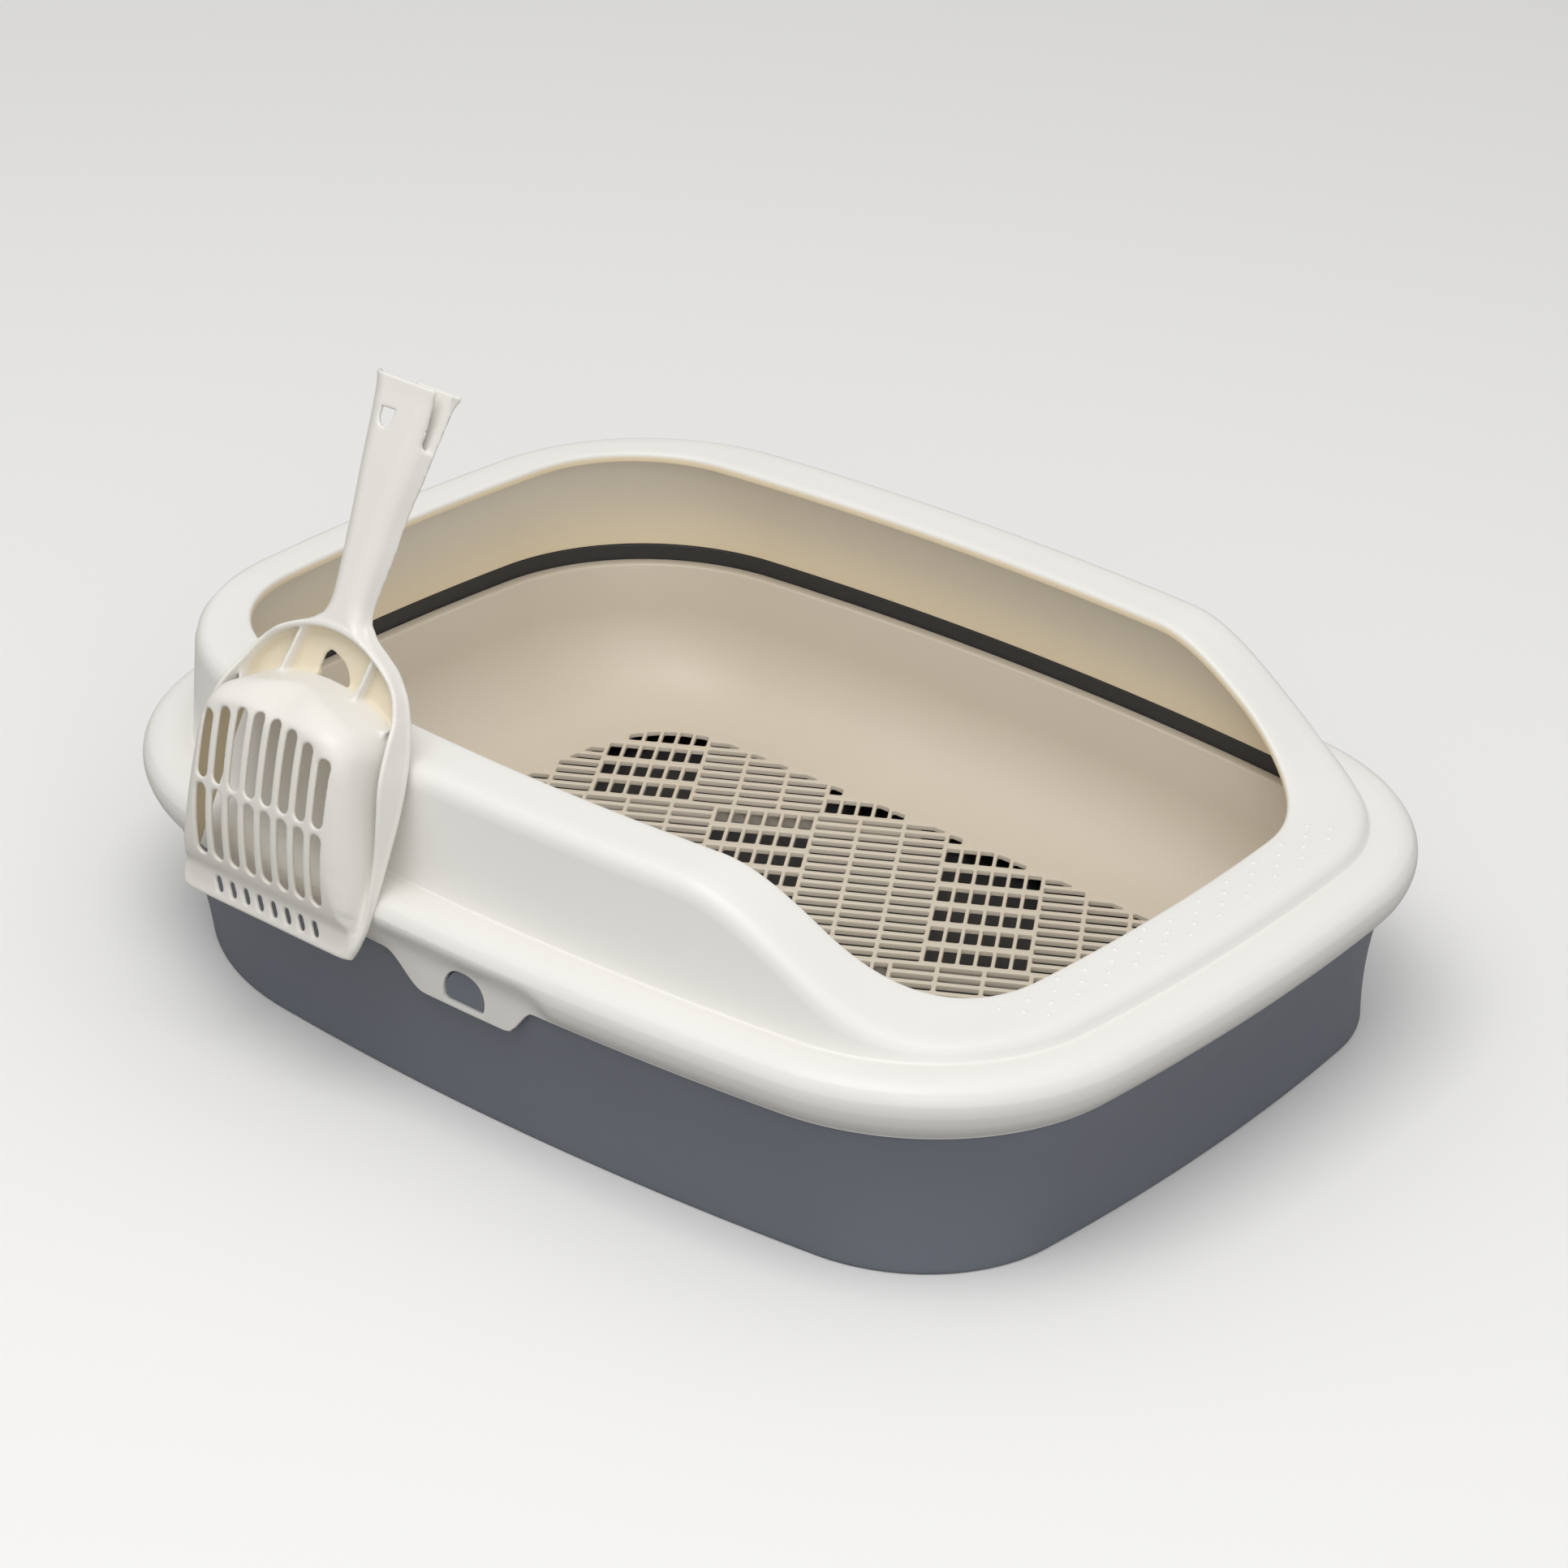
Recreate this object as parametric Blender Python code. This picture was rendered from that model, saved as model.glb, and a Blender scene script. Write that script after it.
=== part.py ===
"""Sifting litter box: a base pan, a waste tray, a sifting tray with a basket-weave floor,
a hood with a low entry end, and a scoop that hangs on the hood's long side.

Metres, +Z up. +Y points to the high back end and -Y to the entry. The scoop hangs on the -X side.
The origin is the centre of the base pan's underside, on the ground.

Every shell follows one rounded outline, the flange's lower edge, and its section is a list of
(inset, height) pairs: how far inside that outline a corner of the section lies, and how high.
"""

import math
from typing import NamedTuple

import bmesh
import bpy
import numpy as np
from mathutils import Matrix

# Fit and moulding
GAP = 0.0003
WALL = 0.0024
TAPER = 0.0489
# Where a fillet's one middle corner lies, as a share of its radius
CORNER_SHARE = 0.3

# Columns of faces round a ring: side, corner and end arcs of a back and of a front quarter
BACK_SEGMENTS = (2, 6, 2)
FRONT_SEGMENTS = (4, 6, 2)

# Base pan: its wall leans in below the shoulder and stands nearly upright above it
PAN_HEIGHT = 0.088
PAN_FLOOR = 0.0026
PAN_RIM_INSET = 0.0030
PAN_SHOULDER = 0.060
PAN_SHOULDER_INSET = 0.0045
PAN_LEAN = 0.124
PAN_FOOT_FILLET = 0.0015
PAN_FLOOR_FILLET = 0.012

# Snap lugs on the pan and the holes of the hood's tabs
LUG_CENTRE_Y = -0.002
LUG_CENTRE_Z = PAN_HEIGHT - 0.0225
LUG_RADIUS = 0.0115
LUG_FLAT_Z = PAN_HEIGHT - 0.0265
# Insets from the flange's half-width
LUG_FACE_INSET = 0.0005
LUG_ROOT_INSET = 0.0054
LUG_CLEARANCE = 0.0008

# Waste tray, which hangs on the pan's rim and carries the sifting tray on a step
WASTE_FLOOR_TOP = PAN_FLOOR + GAP + WALL
WASTE_RIM_TOP = PAN_HEIGHT + 0.0070
WASTE_RIM_INSET = 0.0199
WASTE_STEP_HEIGHT = PAN_HEIGHT - 0.0035
WASTE_STEP_INSET = WASTE_RIM_INSET + 0.0031
WASTE_LEAN = 0.105
WASTE_FLOOR_FILLET = 0.016

# Sifting tray
LIP_THICKNESS = 0.0022
LIP_TOP = WASTE_STEP_HEIGHT + GAP + LIP_THICKNESS
LIP_OUTER_INSET = WASTE_RIM_INSET + 0.0004
LIP_INNER_INSET = LIP_OUTER_INSET + 0.0067
LIP_CORNER_RADIUS = 0.001
SIEVE_TOP = WASTE_FLOOR_TOP + 0.0127
SIEVE_THICKNESS = 0.0025
BOWL_HEIGHT = LIP_TOP - 0.021
BOWL_INSET = LIP_INNER_INSET + 0.0022
BOWL_STEPS = 4

# Basket weave of the sieve floor
WEAVE_ANGLE = math.radians(-57.8)
WEAVE_CENTRE = (0.0901, -0.0638)
HOLE_SIZE = (0.0066, 0.0148)
HOLE_PITCH = (HOLE_SIZE[0] + 0.00174, HOLE_SIZE[1] + 0.00503)
HOLE_COUNT = (6, 7)
SLOT_SIZE = (0.0200, 0.0057)
SLOT_PITCH = SLOT_SIZE[0] + 0.0021
SLOT_COUNT = (3, 16)
BLOCK_PITCH = HOLE_COUNT[0] * HOLE_PITCH[0] + SLOT_COUNT[0] * SLOT_PITCH + 0.00016
BAND_SHIFT = -0.0641
WEAVE_BORDER = 0.0016
SMALLEST_OPENING = 30e-6
RIB_WIDTH = 0.002
RIB_BOTTOM = WASTE_FLOOR_TOP + 0.0042

# Hood
GROOVE_HEIGHT = PAN_HEIGHT + 0.0120
GROOVE_INSET = 0.0127
HOOD_TOP = PAN_HEIGHT + 0.067
ENTRY_TOP = PAN_HEIGHT + 0.020
RISE_FROM_Y = -0.221
RISE_TO_Y = -0.103
WALL_INSET = 0.0150
TOP_FILLET = 0.009
LEDGE_THICKNESS = 0.0025
MOUTH_LIP = 0.005
# Stations of the flange from its lower edge up: inset, height above the pan's rim
FLANGE_FACE = ((0.0, -0.0160), (-0.0066, -0.0095), (-0.0100, -0.0035), (-0.0108, 0.0025),
               (-0.0095, 0.0077), (-0.0055, 0.0117), (0.0010, 0.0135), (0.0085, 0.0133))
FLANGE_LINING = ((0.0023, -0.0160), (0.0023, -0.0152), (-0.0072, -0.0038), (-0.0085, 0.0025),
                 (-0.0074, 0.0060), (-0.0040, 0.0095), (0.0060, 0.0111), (GROOVE_INSET - 0.001, 0.0098))

# Hood tabs that snap over the pan's lugs
TAB_FACE_INSET = 0.0001
TAB_THICKNESS = 0.0023
# Corners of a tab's edge, from the entry's side to the back: place along Y, drop below the pan's rim
TAB_EDGE = ((-0.0420, 0.0135), (-0.0400, 0.0185), (-0.0345, 0.0258), (-0.0290, 0.0297), (-0.0240, 0.0305),
            (0.0190, 0.0305), (0.0250, 0.0290), (0.0330, 0.0240), (0.0400, 0.0180), (0.0460, 0.0135))

# Hook on the hood that the scoop hangs on
SCOOP_Y = 0.099
HOOK_X = (-0.1910, -0.1886)
HOOK_Z = (HOOD_TOP - 0.007, HOOD_TOP + 0.0201)
HOOK_HALF_WIDTH = 0.014
HOOK_CORNER = 0.005

# Scoop, in its own frame: across, along from the lip to the tip, and out of the rim plane
SCOOP_LIP_X = -0.2297
SCOOP_LIP_Z = HOOD_TOP - 0.083
SCOOP_LEAN = math.atan(0.416)
SCOOP_WALL = 0.0022
SCOOP_LENGTH = 0.2495
# How far cuts through the scoop reach on each side of its rim plane
SCOOP_THROUGH = 0.060
# Rim, from the lip's corner up to the handle's root: half-width, distance from the lip, wall height
RIM = ((0.0455, 0.0, 0.0022), (0.0528, 0.0030, 0.0022), (0.0562, 0.0110, 0.0026), (0.0566, 0.0300, 0.0052),
       (0.0565, 0.0480, 0.0085), (0.0562, 0.0660, 0.0140), (0.0548, 0.0820, 0.0175), (0.0515, 0.0970, 0.0150),
       (0.0470, 0.1100, 0.0112), (0.0400, 0.1210, 0.0090), (0.0310, 0.1285, 0.0088), (0.0220, 0.1335, 0.0092),
       (0.0165, 0.1375, 0.0098), (0.0140, 0.1430, 0.0104))
RIM_WALL_FROM = 3
# Stations of the bowl's back: distance from the lip, depth below the rim plane, half-width
BOWL = ((0.0, 0.0022, 0.0440), (0.0040, 0.0040, 0.0515), (0.0120, 0.0078, 0.0540), (0.0145, 0.0125, 0.0540),
        (0.0185, 0.0185, 0.0535), (0.0340, 0.0280, 0.0520), (0.0520, 0.0350, 0.0495), (0.0860, 0.0415, 0.0475),
        (0.0940, 0.0405, 0.0460), (0.1000, 0.0375, 0.0430), (0.1055, 0.0320, 0.0375), (0.1100, 0.0235, 0.0300),
        (0.1135, 0.0110, 0.0205))
BOWL_DRAFT = 0.05
BOWL_CORNER = 0.009
BOWL_CORNER_SHARE = 0.6
# Stations of the handle: share of the way from its root to its tip, bend, half-widths at the back and
# front, depth
HANDLE_ROOT = 0.1300
HANDLE = ((0.0, 0.0, 0.0150, 0.0110, 0.0100), (0.125, 0.0006, 0.0138, 0.0104, 0.0104),
          (0.250, 0.0010, 0.0134, 0.0102, 0.0105), (0.445, 0.0006, 0.0153, 0.0112, 0.0106),
          (0.685, -0.0008, 0.0187, 0.0130, 0.0108), (0.920, -0.0012, 0.0216, 0.0150, 0.0105),
          (1.0, -0.0018, 0.0255, 0.0180, 0.0112))
HANDLE_CHAMFER = 0.004
# Corners across, and down from the tip: the plate behind it, the slot beside it, the hole to hang it by
BACK_PLATE = ((-0.0010, 0.0445), (0.0165, 0.0445), (0.0195, 0.0115), (0.0235, 0.0), (-0.0010, 0.0))
BACK_PLATE_DEPTH = (-0.0015, 0.0007)
TIP_SLOT = ((0.0159, -0.005), (0.0159, 0.0240), (0.0166, 0.0263), (0.0182, 0.0270), (0.0198, 0.0263),
            (0.0205, 0.0240), (0.0205, -0.005))
HANG_HOLE = ((-0.0088, 0.0145), (-0.0082, 0.0195), (-0.0055, 0.0220), (-0.0030, 0.0217), (-0.0012, 0.0185),
             (-0.0010, 0.0137))
ROOT_HOLE = ((-0.0085, 0.1142), (0.0100, 0.1142), (0.0086, 0.1175), (0.0048, 0.1215), (0.0, 0.1240),
             (-0.0052, 0.1252), (-0.0088, 0.1225))
# Ends of the ribs between the bowl's shoulder and the rim's wall
SHOULDER_RIBS = (((-0.0465, 0.1095), (-0.0400, 0.1000)), ((-0.0185, 0.1335), (-0.0222, 0.1080)),
                 ((0.0262, 0.1300), (0.0228, 0.1080)), ((0.0475, 0.1075), (0.0360, 0.0985)))
RIB_THICKNESS = 0.0018
RIB_TOP = 0.0085
BAR_SLOT_COUNT = 8
BAR_SLOT_PITCH = 0.0106
BAR_SLOT_WIDTH = 0.0064
LOWER_SLOTS = (0.0190, 0.0495)
UPPER_SLOTS = (0.0555, 0.0900)
UPPER_SLOTS_DROP = 0.0060
LIP_SLIT_ALONG = 0.0070
LIP_SLIT_SIZE = (0.0028, 0.0068)
LIP_SLIT_PITCH = 0.0086
LIP_SLIT_LEAN = math.radians(25)


class Outline(NamedTuple):
    """A rounded four-sided outline: its reach from the centre, and the radii of its arcs."""

    back: float
    front: float
    half: float
    side_radius: float
    end_radius: float
    back_corner: float
    front_corner: float

    def inset(self, distance):
        return Outline(*(value - distance for value in self))

    def toward(self, other, share):
        return Outline(*(value + (end - value) * share for value, end in zip(self, other)))


# The flange's lower edge, the pan's foot, the sieve floor and the hood's mouth
FLANGE = Outline(0.270, 0.270, 0.2105, 1.385, 1.242, 0.1256, 0.109)
FOOT = Outline(0.2583, 0.2583, 0.1987, 1.424, 1.199, 0.141, 0.080)
SIEVE = Outline(0.185, 0.185, 0.132, 4.0, 1.15, 0.048, 0.048)
MOUTH = Outline(0.231, 0.2214, 0.163, 1.3375, 1.1945, 0.072, 0.072)


def arc(centre, radius, start, end, segments):
    """Points on an arc, without its last one."""
    angles = np.linspace(start, end, segments, endpoint=False)
    return np.column_stack((centre[0] + radius * np.cos(angles), centre[1] + radius * np.sin(angles)))


def quarter(reach, corner, outline, segments):
    """A quarter of an outline, from (half, 0) round to (0, reach): side, corner and end arcs."""
    side_centre = np.array((outline.half - outline.side_radius, 0.0))
    end_centre = np.array((0.0, reach - outline.end_radius))
    link = end_centre - side_centre
    distance = np.linalg.norm(link)
    unit = link / distance
    side_gap = outline.side_radius - corner
    end_gap = outline.end_radius - corner
    along = (side_gap ** 2 - end_gap ** 2 + distance ** 2) / (2 * distance)
    across = math.sqrt(side_gap ** 2 - along ** 2)
    corner_centre = side_centre + along * unit + across * np.array((-unit[1], unit[0]))
    first = math.atan2(*(corner_centre - side_centre)[::-1])
    last = math.atan2(*(corner_centre - end_centre)[::-1])
    return np.vstack((arc(side_centre, outline.side_radius, 0.0, first, segments[0]),
                      arc(corner_centre, corner, first, last, segments[1]),
                      arc(end_centre, outline.end_radius, last, math.pi / 2, segments[2]),
                      ((0.0, reach),)))


def flat_ring(outline):
    """The outline's points, counter-clockwise from +X, widened evenly toward the back."""
    back = quarter(outline.back, outline.back_corner, outline, BACK_SEGMENTS)
    front = quarter(outline.front, outline.front_corner, outline, FRONT_SEGMENTS)
    points = np.vstack((back[:-1], (back * (-1, 1))[:0:-1],
                        (front * (-1, -1))[:-1], (front * (1, -1))[:0:-1]))
    points[:, 0] *= 1 + TAPER * points[:, 1]
    return points


def ring(outline, height):
    """The outline's points at one height, or at a height that depends on Y."""
    points = flat_ring(outline)
    heights = height(points[:, 1]) if callable(height) else np.full(len(points), height)
    return np.column_stack((points, heights))


def material(name, colour, roughness):
    """A plain moulded plastic."""
    plastic = bpy.data.materials.new(name)
    plastic.use_nodes = True
    shader = plastic.node_tree.nodes["Principled BSDF"]
    shader.inputs["Base Color"].default_value = (*colour, 1.0)
    shader.inputs["Roughness"].default_value = roughness
    shader.inputs["Metallic"].default_value = 0.0
    plastic.diffuse_color = (*colour, 1.0)
    return plastic


def add_object(name, vertices, faces):
    """An object on a closed mesh, with its faces pointing out."""
    mesh = bpy.data.meshes.new(name)
    mesh.from_pydata([tuple(map(float, vertex)) for vertex in vertices], [], faces)
    cage = bmesh.new()
    cage.from_mesh(mesh)
    bmesh.ops.recalc_face_normals(cage, faces=cage.faces)
    cage.to_mesh(mesh)
    cage.free()
    item = bpy.data.objects.new(name, mesh)
    bpy.context.scene.collection.objects.link(item)
    return item


def loft(name, rings, closed=False):
    """A skin over a run of rings. A closed run joins its last ring to its first, an open one is capped."""
    count = len(rings[0])
    starts = [index * count for index in range(len(rings))]
    pairs = list(zip(starts, starts[1:]))
    if closed:
        pairs.append((starts[-1], starts[0]))
    faces = []
    for low, high in pairs:
        for index in range(count):
            following = (index + 1) % count
            faces.append((low + index, low + following, high + following, high + index))
    if not closed:
        faces.append(tuple(reversed(range(count))))
        faces.append(tuple(range(starts[-1], starts[-1] + count)))
    return add_object(name, np.vstack(rings), faces)


def prisms(name, polygons, low, high):
    """One object of separate prisms, each on a polygon of the XY plane, from low to high."""
    vertices = []
    faces = []
    for polygon in polygons:
        start = len(vertices)
        count = len(polygon)
        vertices.extend((x, y, low) for x, y in polygon)
        vertices.extend((x, y, high) for x, y in polygon)
        faces.append(tuple(start + index for index in reversed(range(count))))
        faces.append(tuple(start + count + index for index in range(count)))
        for index in range(count):
            following = (index + 1) % count
            faces.append((start + index, start + following,
                          start + count + following, start + count + index))
    return add_object(name, vertices, faces)


def combine(target, tool, operation):
    """A Boolean with a hidden tool."""
    modifier = target.modifiers.new(tool.name, "BOOLEAN")
    modifier.operation = operation
    modifier.solver = "EXACT"
    modifier.object = tool
    tool.hide_render = True
    tool.display_type = "WIRE"


def finish(item, plastic):
    """Material and smooth shading, with the sharp edges kept."""
    item.data.materials.append(plastic)
    item.data.shade_smooth()
    item.data.set_sharp_from_angle(angle=math.radians(40))


def cross(first, second):
    return first[0] * second[1] - first[1] * second[0]


def clip(polygon, window):
    """The part of a convex polygon that lies in a convex, counter-clockwise window."""
    points = list(polygon)
    for start, end in zip(window, np.roll(window, -1, axis=0)):
        edge = end - start
        sides = [cross(edge, point - start) for point in points]
        kept = []
        for index, point in enumerate(points):
            following = points[(index + 1) % len(points)]
            side = sides[index]
            next_side = sides[(index + 1) % len(points)]
            if side >= 0:
                kept.append(point)
            if side * next_side < 0:
                kept.append(point + (following - point) * side / (side - next_side))
        points = kept
        if len(points) < 3:
            return []
    return points


def area(polygon):
    return sum(cross(point, polygon[index - 1]) for index, point in enumerate(polygon)) / -2


def box_outline(centre, size, across, along):
    """A rectangle's corners, counter-clockwise, on two unit directions of the plane."""
    corners = []
    for side, end in ((-1, -1), (-1, 1), (1, 1), (1, -1)):
        corners.append(centre + across * side * size[0] / 2 + along * end * size[1] / 2)
    return corners


def d_outline(margin):
    """The lug's outline in the YZ plane: a disc with a flat underside, grown by a margin."""
    radius = LUG_RADIUS + margin
    flat = LUG_FLAT_Z - margin
    droop = math.asin((LUG_CENTRE_Z - flat) / radius)
    angles = np.linspace(-droop, math.pi + droop, 12)
    return [(LUG_CENTRE_Y + radius * math.cos(angle), LUG_CENTRE_Z + radius * math.sin(angle))
            for angle in angles]


def side_prisms(name, outline, inner, outer):
    """Prisms on both long sides: an outline in the YZ plane, from inner to outer along X."""
    count = len(outline)
    vertices = []
    faces = []
    for side in (-1, 1):
        start = len(vertices)
        vertices.extend((side * inner, y, z) for y, z in outline)
        vertices.extend((side * outer, y, z) for y, z in outline)
        faces.append(tuple(start + index for index in range(count)))
        faces.append(tuple(start + count + index for index in range(count)))
        for index in range(count):
            following = (index + 1) % count
            faces.append((start + index, start + following,
                          start + count + following, start + count + index))
    return add_object(name, vertices, faces)


def pan_wall(height, thickness):
    """The pan's outline at a height, moved in by a thickness: its own at the foot, the flange's above."""
    above = max(height - PAN_SHOULDER, 0.0) / (PAN_HEIGHT - PAN_SHOULDER)
    below = max(PAN_SHOULDER - height, 0.0)
    inset = PAN_SHOULDER_INSET + (PAN_RIM_INSET - PAN_SHOULDER_INSET) * above + PAN_LEAN * below
    share = min(height / PAN_SHOULDER, 1.0)
    return FOOT.toward(FLANGE.inset(inset), share).inset(thickness)


def base_pan():
    corner = CORNER_SHARE * PAN_FLOOR_FILLET
    heights = (PAN_SHOULDER / 2, PAN_SHOULDER, PAN_HEIGHT)
    rings = [ring(pan_wall(0.0, PAN_FOOT_FILLET), 0.0)]
    rings += [ring(pan_wall(height, 0.0), height) for height in (PAN_FOOT_FILLET, *heights)]
    rings += [ring(pan_wall(height, WALL), height) for height in (*reversed(heights),
                                                                  PAN_FLOOR + PAN_FLOOR_FILLET)]
    rings += [ring(pan_wall(PAN_FLOOR, WALL + corner), PAN_FLOOR + corner),
              ring(pan_wall(PAN_FLOOR, WALL + PAN_FLOOR_FILLET), PAN_FLOOR)]
    pan = loft("base_pan", rings)
    reach = (FLANGE.half - LUG_ROOT_INSET, FLANGE.half - LUG_FACE_INSET)
    combine(pan, side_prisms("lugs", d_outline(0.0), *reach), "UNION")
    finish(pan, material("pan_plastic", (0.145, 0.160, 0.200), 0.45))
    return pan


def waste_tray():
    """A tray that hangs on the pan's rim by a flat flange, and carries the sifting tray on a step."""
    flange_low = PAN_HEIGHT + GAP
    flange_high = flange_low + WALL
    collar = WASTE_RIM_INSET - WALL
    bottom = PAN_FLOOR + GAP
    fillet = WASTE_FLOOR_FILLET
    corner = CORNER_SHARE * fillet
    foot = WASTE_STEP_INSET + WASTE_LEAN * (WASTE_STEP_HEIGHT - bottom - fillet)
    section = [(foot + fillet, bottom), (foot + corner - WALL, bottom + corner), (foot - WALL, bottom + fillet),
               (WASTE_STEP_INSET - WALL, WASTE_STEP_HEIGHT - WALL), (collar, WASTE_STEP_HEIGHT - WALL),
               (collar, flange_low), (PAN_RIM_INSET, flange_low), (PAN_RIM_INSET, flange_high),
               (collar, flange_high), (collar, WASTE_RIM_TOP), (WASTE_RIM_INSET, WASTE_RIM_TOP),
               (WASTE_RIM_INSET, WASTE_STEP_HEIGHT), (WASTE_STEP_INSET, WASTE_STEP_HEIGHT),
               (foot, bottom + WALL + fillet), (foot + corner, bottom + WALL + corner),
               (foot + fillet + WALL, WASTE_FLOOR_TOP)]
    tray = loft("waste_tray", [ring(FLANGE.inset(inset), height) for inset, height in section])
    finish(tray, material("waste_tray_plastic", (0.052, 0.052, 0.055), 0.5))
    return tray


def bowl_ring(angle, thickness):
    """A ring of the bowl's wall, a quarter of an ellipse from the lip's edge down to the sieve floor."""
    outline = FLANGE.inset(BOWL_INSET).toward(SIEVE, 1 - math.cos(angle))
    drop = (BOWL_HEIGHT - SIEVE_TOP + thickness) * math.sin(angle)
    return ring(outline.inset(-thickness * math.cos(angle)), BOWL_HEIGHT - drop)


def sifting_tray():
    """The tray's lip and bowl-shaped wall, down to the edge of the sieve floor."""
    angles = np.linspace(0, math.pi / 2, BOWL_STEPS + 1)
    lip_bottom = LIP_TOP - LIP_THICKNESS
    corner = LIP_CORNER_RADIUS
    lip = [(LIP_INNER_INSET - WALL, lip_bottom), (LIP_OUTER_INSET, lip_bottom),
           (LIP_OUTER_INSET, LIP_TOP - corner), (LIP_OUTER_INSET + corner, LIP_TOP),
           (LIP_INNER_INSET - corner, LIP_TOP), (LIP_INNER_INSET, LIP_TOP - corner)]
    rings = [ring(FLANGE.inset(inset), height) for inset, height in lip]
    rings += [bowl_ring(angle, 0.0) for angle in angles]
    rings += [bowl_ring(angle, WALL) for angle in reversed(angles)]
    tray = loft("sifting_tray", rings, closed=True)
    finish(tray, material("tray_plastic", (0.60, 0.54, 0.44), 0.42))
    return tray


def weave_openings():
    """Outlines of the sieve's openings: blocks of holes and of slots that swap places in each band."""
    across = np.array((math.cos(WEAVE_ANGLE), math.sin(WEAVE_ANGLE)))
    along = np.array((math.sin(WEAVE_ANGLE), -math.cos(WEAVE_ANGLE)))
    window = flat_ring(SIEVE.inset(GAP + WEAVE_BORDER))
    band_pitch = HOLE_COUNT[1] * HOLE_PITCH[1]
    slot_row_pitch = band_pitch / SLOT_COUNT[1]
    reach = 4
    openings = []
    for band in range(-reach, reach + 1):
        shift = BAND_SHIFT * (band % 2)
        for block in range(-reach, reach + 1):
            hole_centre = np.array(WEAVE_CENTRE) + across * (block * BLOCK_PITCH + shift)
            hole_centre = hole_centre + along * band * band_pitch
            slot_centre = hole_centre + across * BLOCK_PITCH / 2
            openings += grid(hole_centre, HOLE_SIZE, HOLE_PITCH, HOLE_COUNT, across, along)
            openings += grid(slot_centre, SLOT_SIZE, (SLOT_PITCH, slot_row_pitch), SLOT_COUNT, across, along)
    clipped = [clip(opening, window) for opening in openings]
    return [opening for opening in clipped if len(opening) > 2 and area(opening) > SMALLEST_OPENING]


def grid(centre, size, pitch, count, across, along):
    """Rectangles of one size, spaced evenly in columns and rows round a centre."""
    outlines = []
    for column in range(count[0]):
        for row in range(count[1]):
            offset = (column - (count[0] - 1) / 2) * pitch[0] * across
            offset = offset + (row - (count[1] - 1) / 2) * pitch[1] * along
            outlines.append(box_outline(centre + offset, size, across, along))
    return outlines


def rib_outlines():
    """Long thin ribs under the lines between the bands of the weave."""
    across = np.array((math.cos(WEAVE_ANGLE), math.sin(WEAVE_ANGLE)))
    along = np.array((math.sin(WEAVE_ANGLE), -math.cos(WEAVE_ANGLE)))
    window = flat_ring(SIEVE.inset(2 * WALL))
    band_pitch = HOLE_COUNT[1] * HOLE_PITCH[1]
    reach = 3
    ribs = []
    for band in range(-reach, reach + 1):
        centre = np.array(WEAVE_CENTRE) + along * (band + 0.5) * band_pitch
        ribs.append(clip(box_outline(centre, (2.0, RIB_WIDTH), across, along), window))
    return [rib for rib in ribs if rib]


def sieve_grid():
    """The flat floor of the sifting tray, pierced by the weave and stiffened by ribs below."""
    outline = flat_ring(SIEVE.inset(GAP))
    floor = prisms("sieve_grid", [outline], SIEVE_TOP - SIEVE_THICKNESS, SIEVE_TOP)
    depth = SIEVE_THICKNESS + 0.002
    cutters = prisms("weave", weave_openings(), SIEVE_TOP - depth, SIEVE_TOP + 0.002)
    combine(floor, cutters, "DIFFERENCE")
    ribs = prisms("ribs", rib_outlines(), RIB_BOTTOM, SIEVE_TOP - SIEVE_THICKNESS / 2)
    combine(floor, ribs, "UNION")
    finish(floor, bpy.data.materials["tray_plastic"].copy())
    floor.data.materials[0].name = "sieve_plastic"
    return floor


def hood_height(y):
    """Height of the hood's top edge: low at the entry, then an S-shaped rise to the full height."""
    share = np.clip((y - RISE_FROM_Y) / (RISE_TO_Y - RISE_FROM_Y), 0.0, 1.0)
    return ENTRY_TOP + (HOOD_TOP - ENTRY_TOP) * share * share * (3 - 2 * share)


def below_top(drop):
    """A height that stays a given drop below the hood's top edge."""
    return lambda y: hood_height(y) - drop


def above_groove(share, base):
    """A height that is a share of the way from a base up to the ledge's underside."""
    return lambda y: base + (hood_height(y) - LEDGE_THICKNESS - base) * share


def top_fillet(share):
    """A height in the fillet of the top edge, which shrinks where the wall is low."""
    def height(y):
        top = hood_height(y)
        radius = np.minimum(TOP_FILLET, 0.75 * (top - GROOVE_HEIGHT))
        return top - radius * share
    return height


def flange_rings(stations):
    return [ring(FLANGE.inset(inset), PAN_HEIGHT + height) for inset, height in stations]


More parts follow.
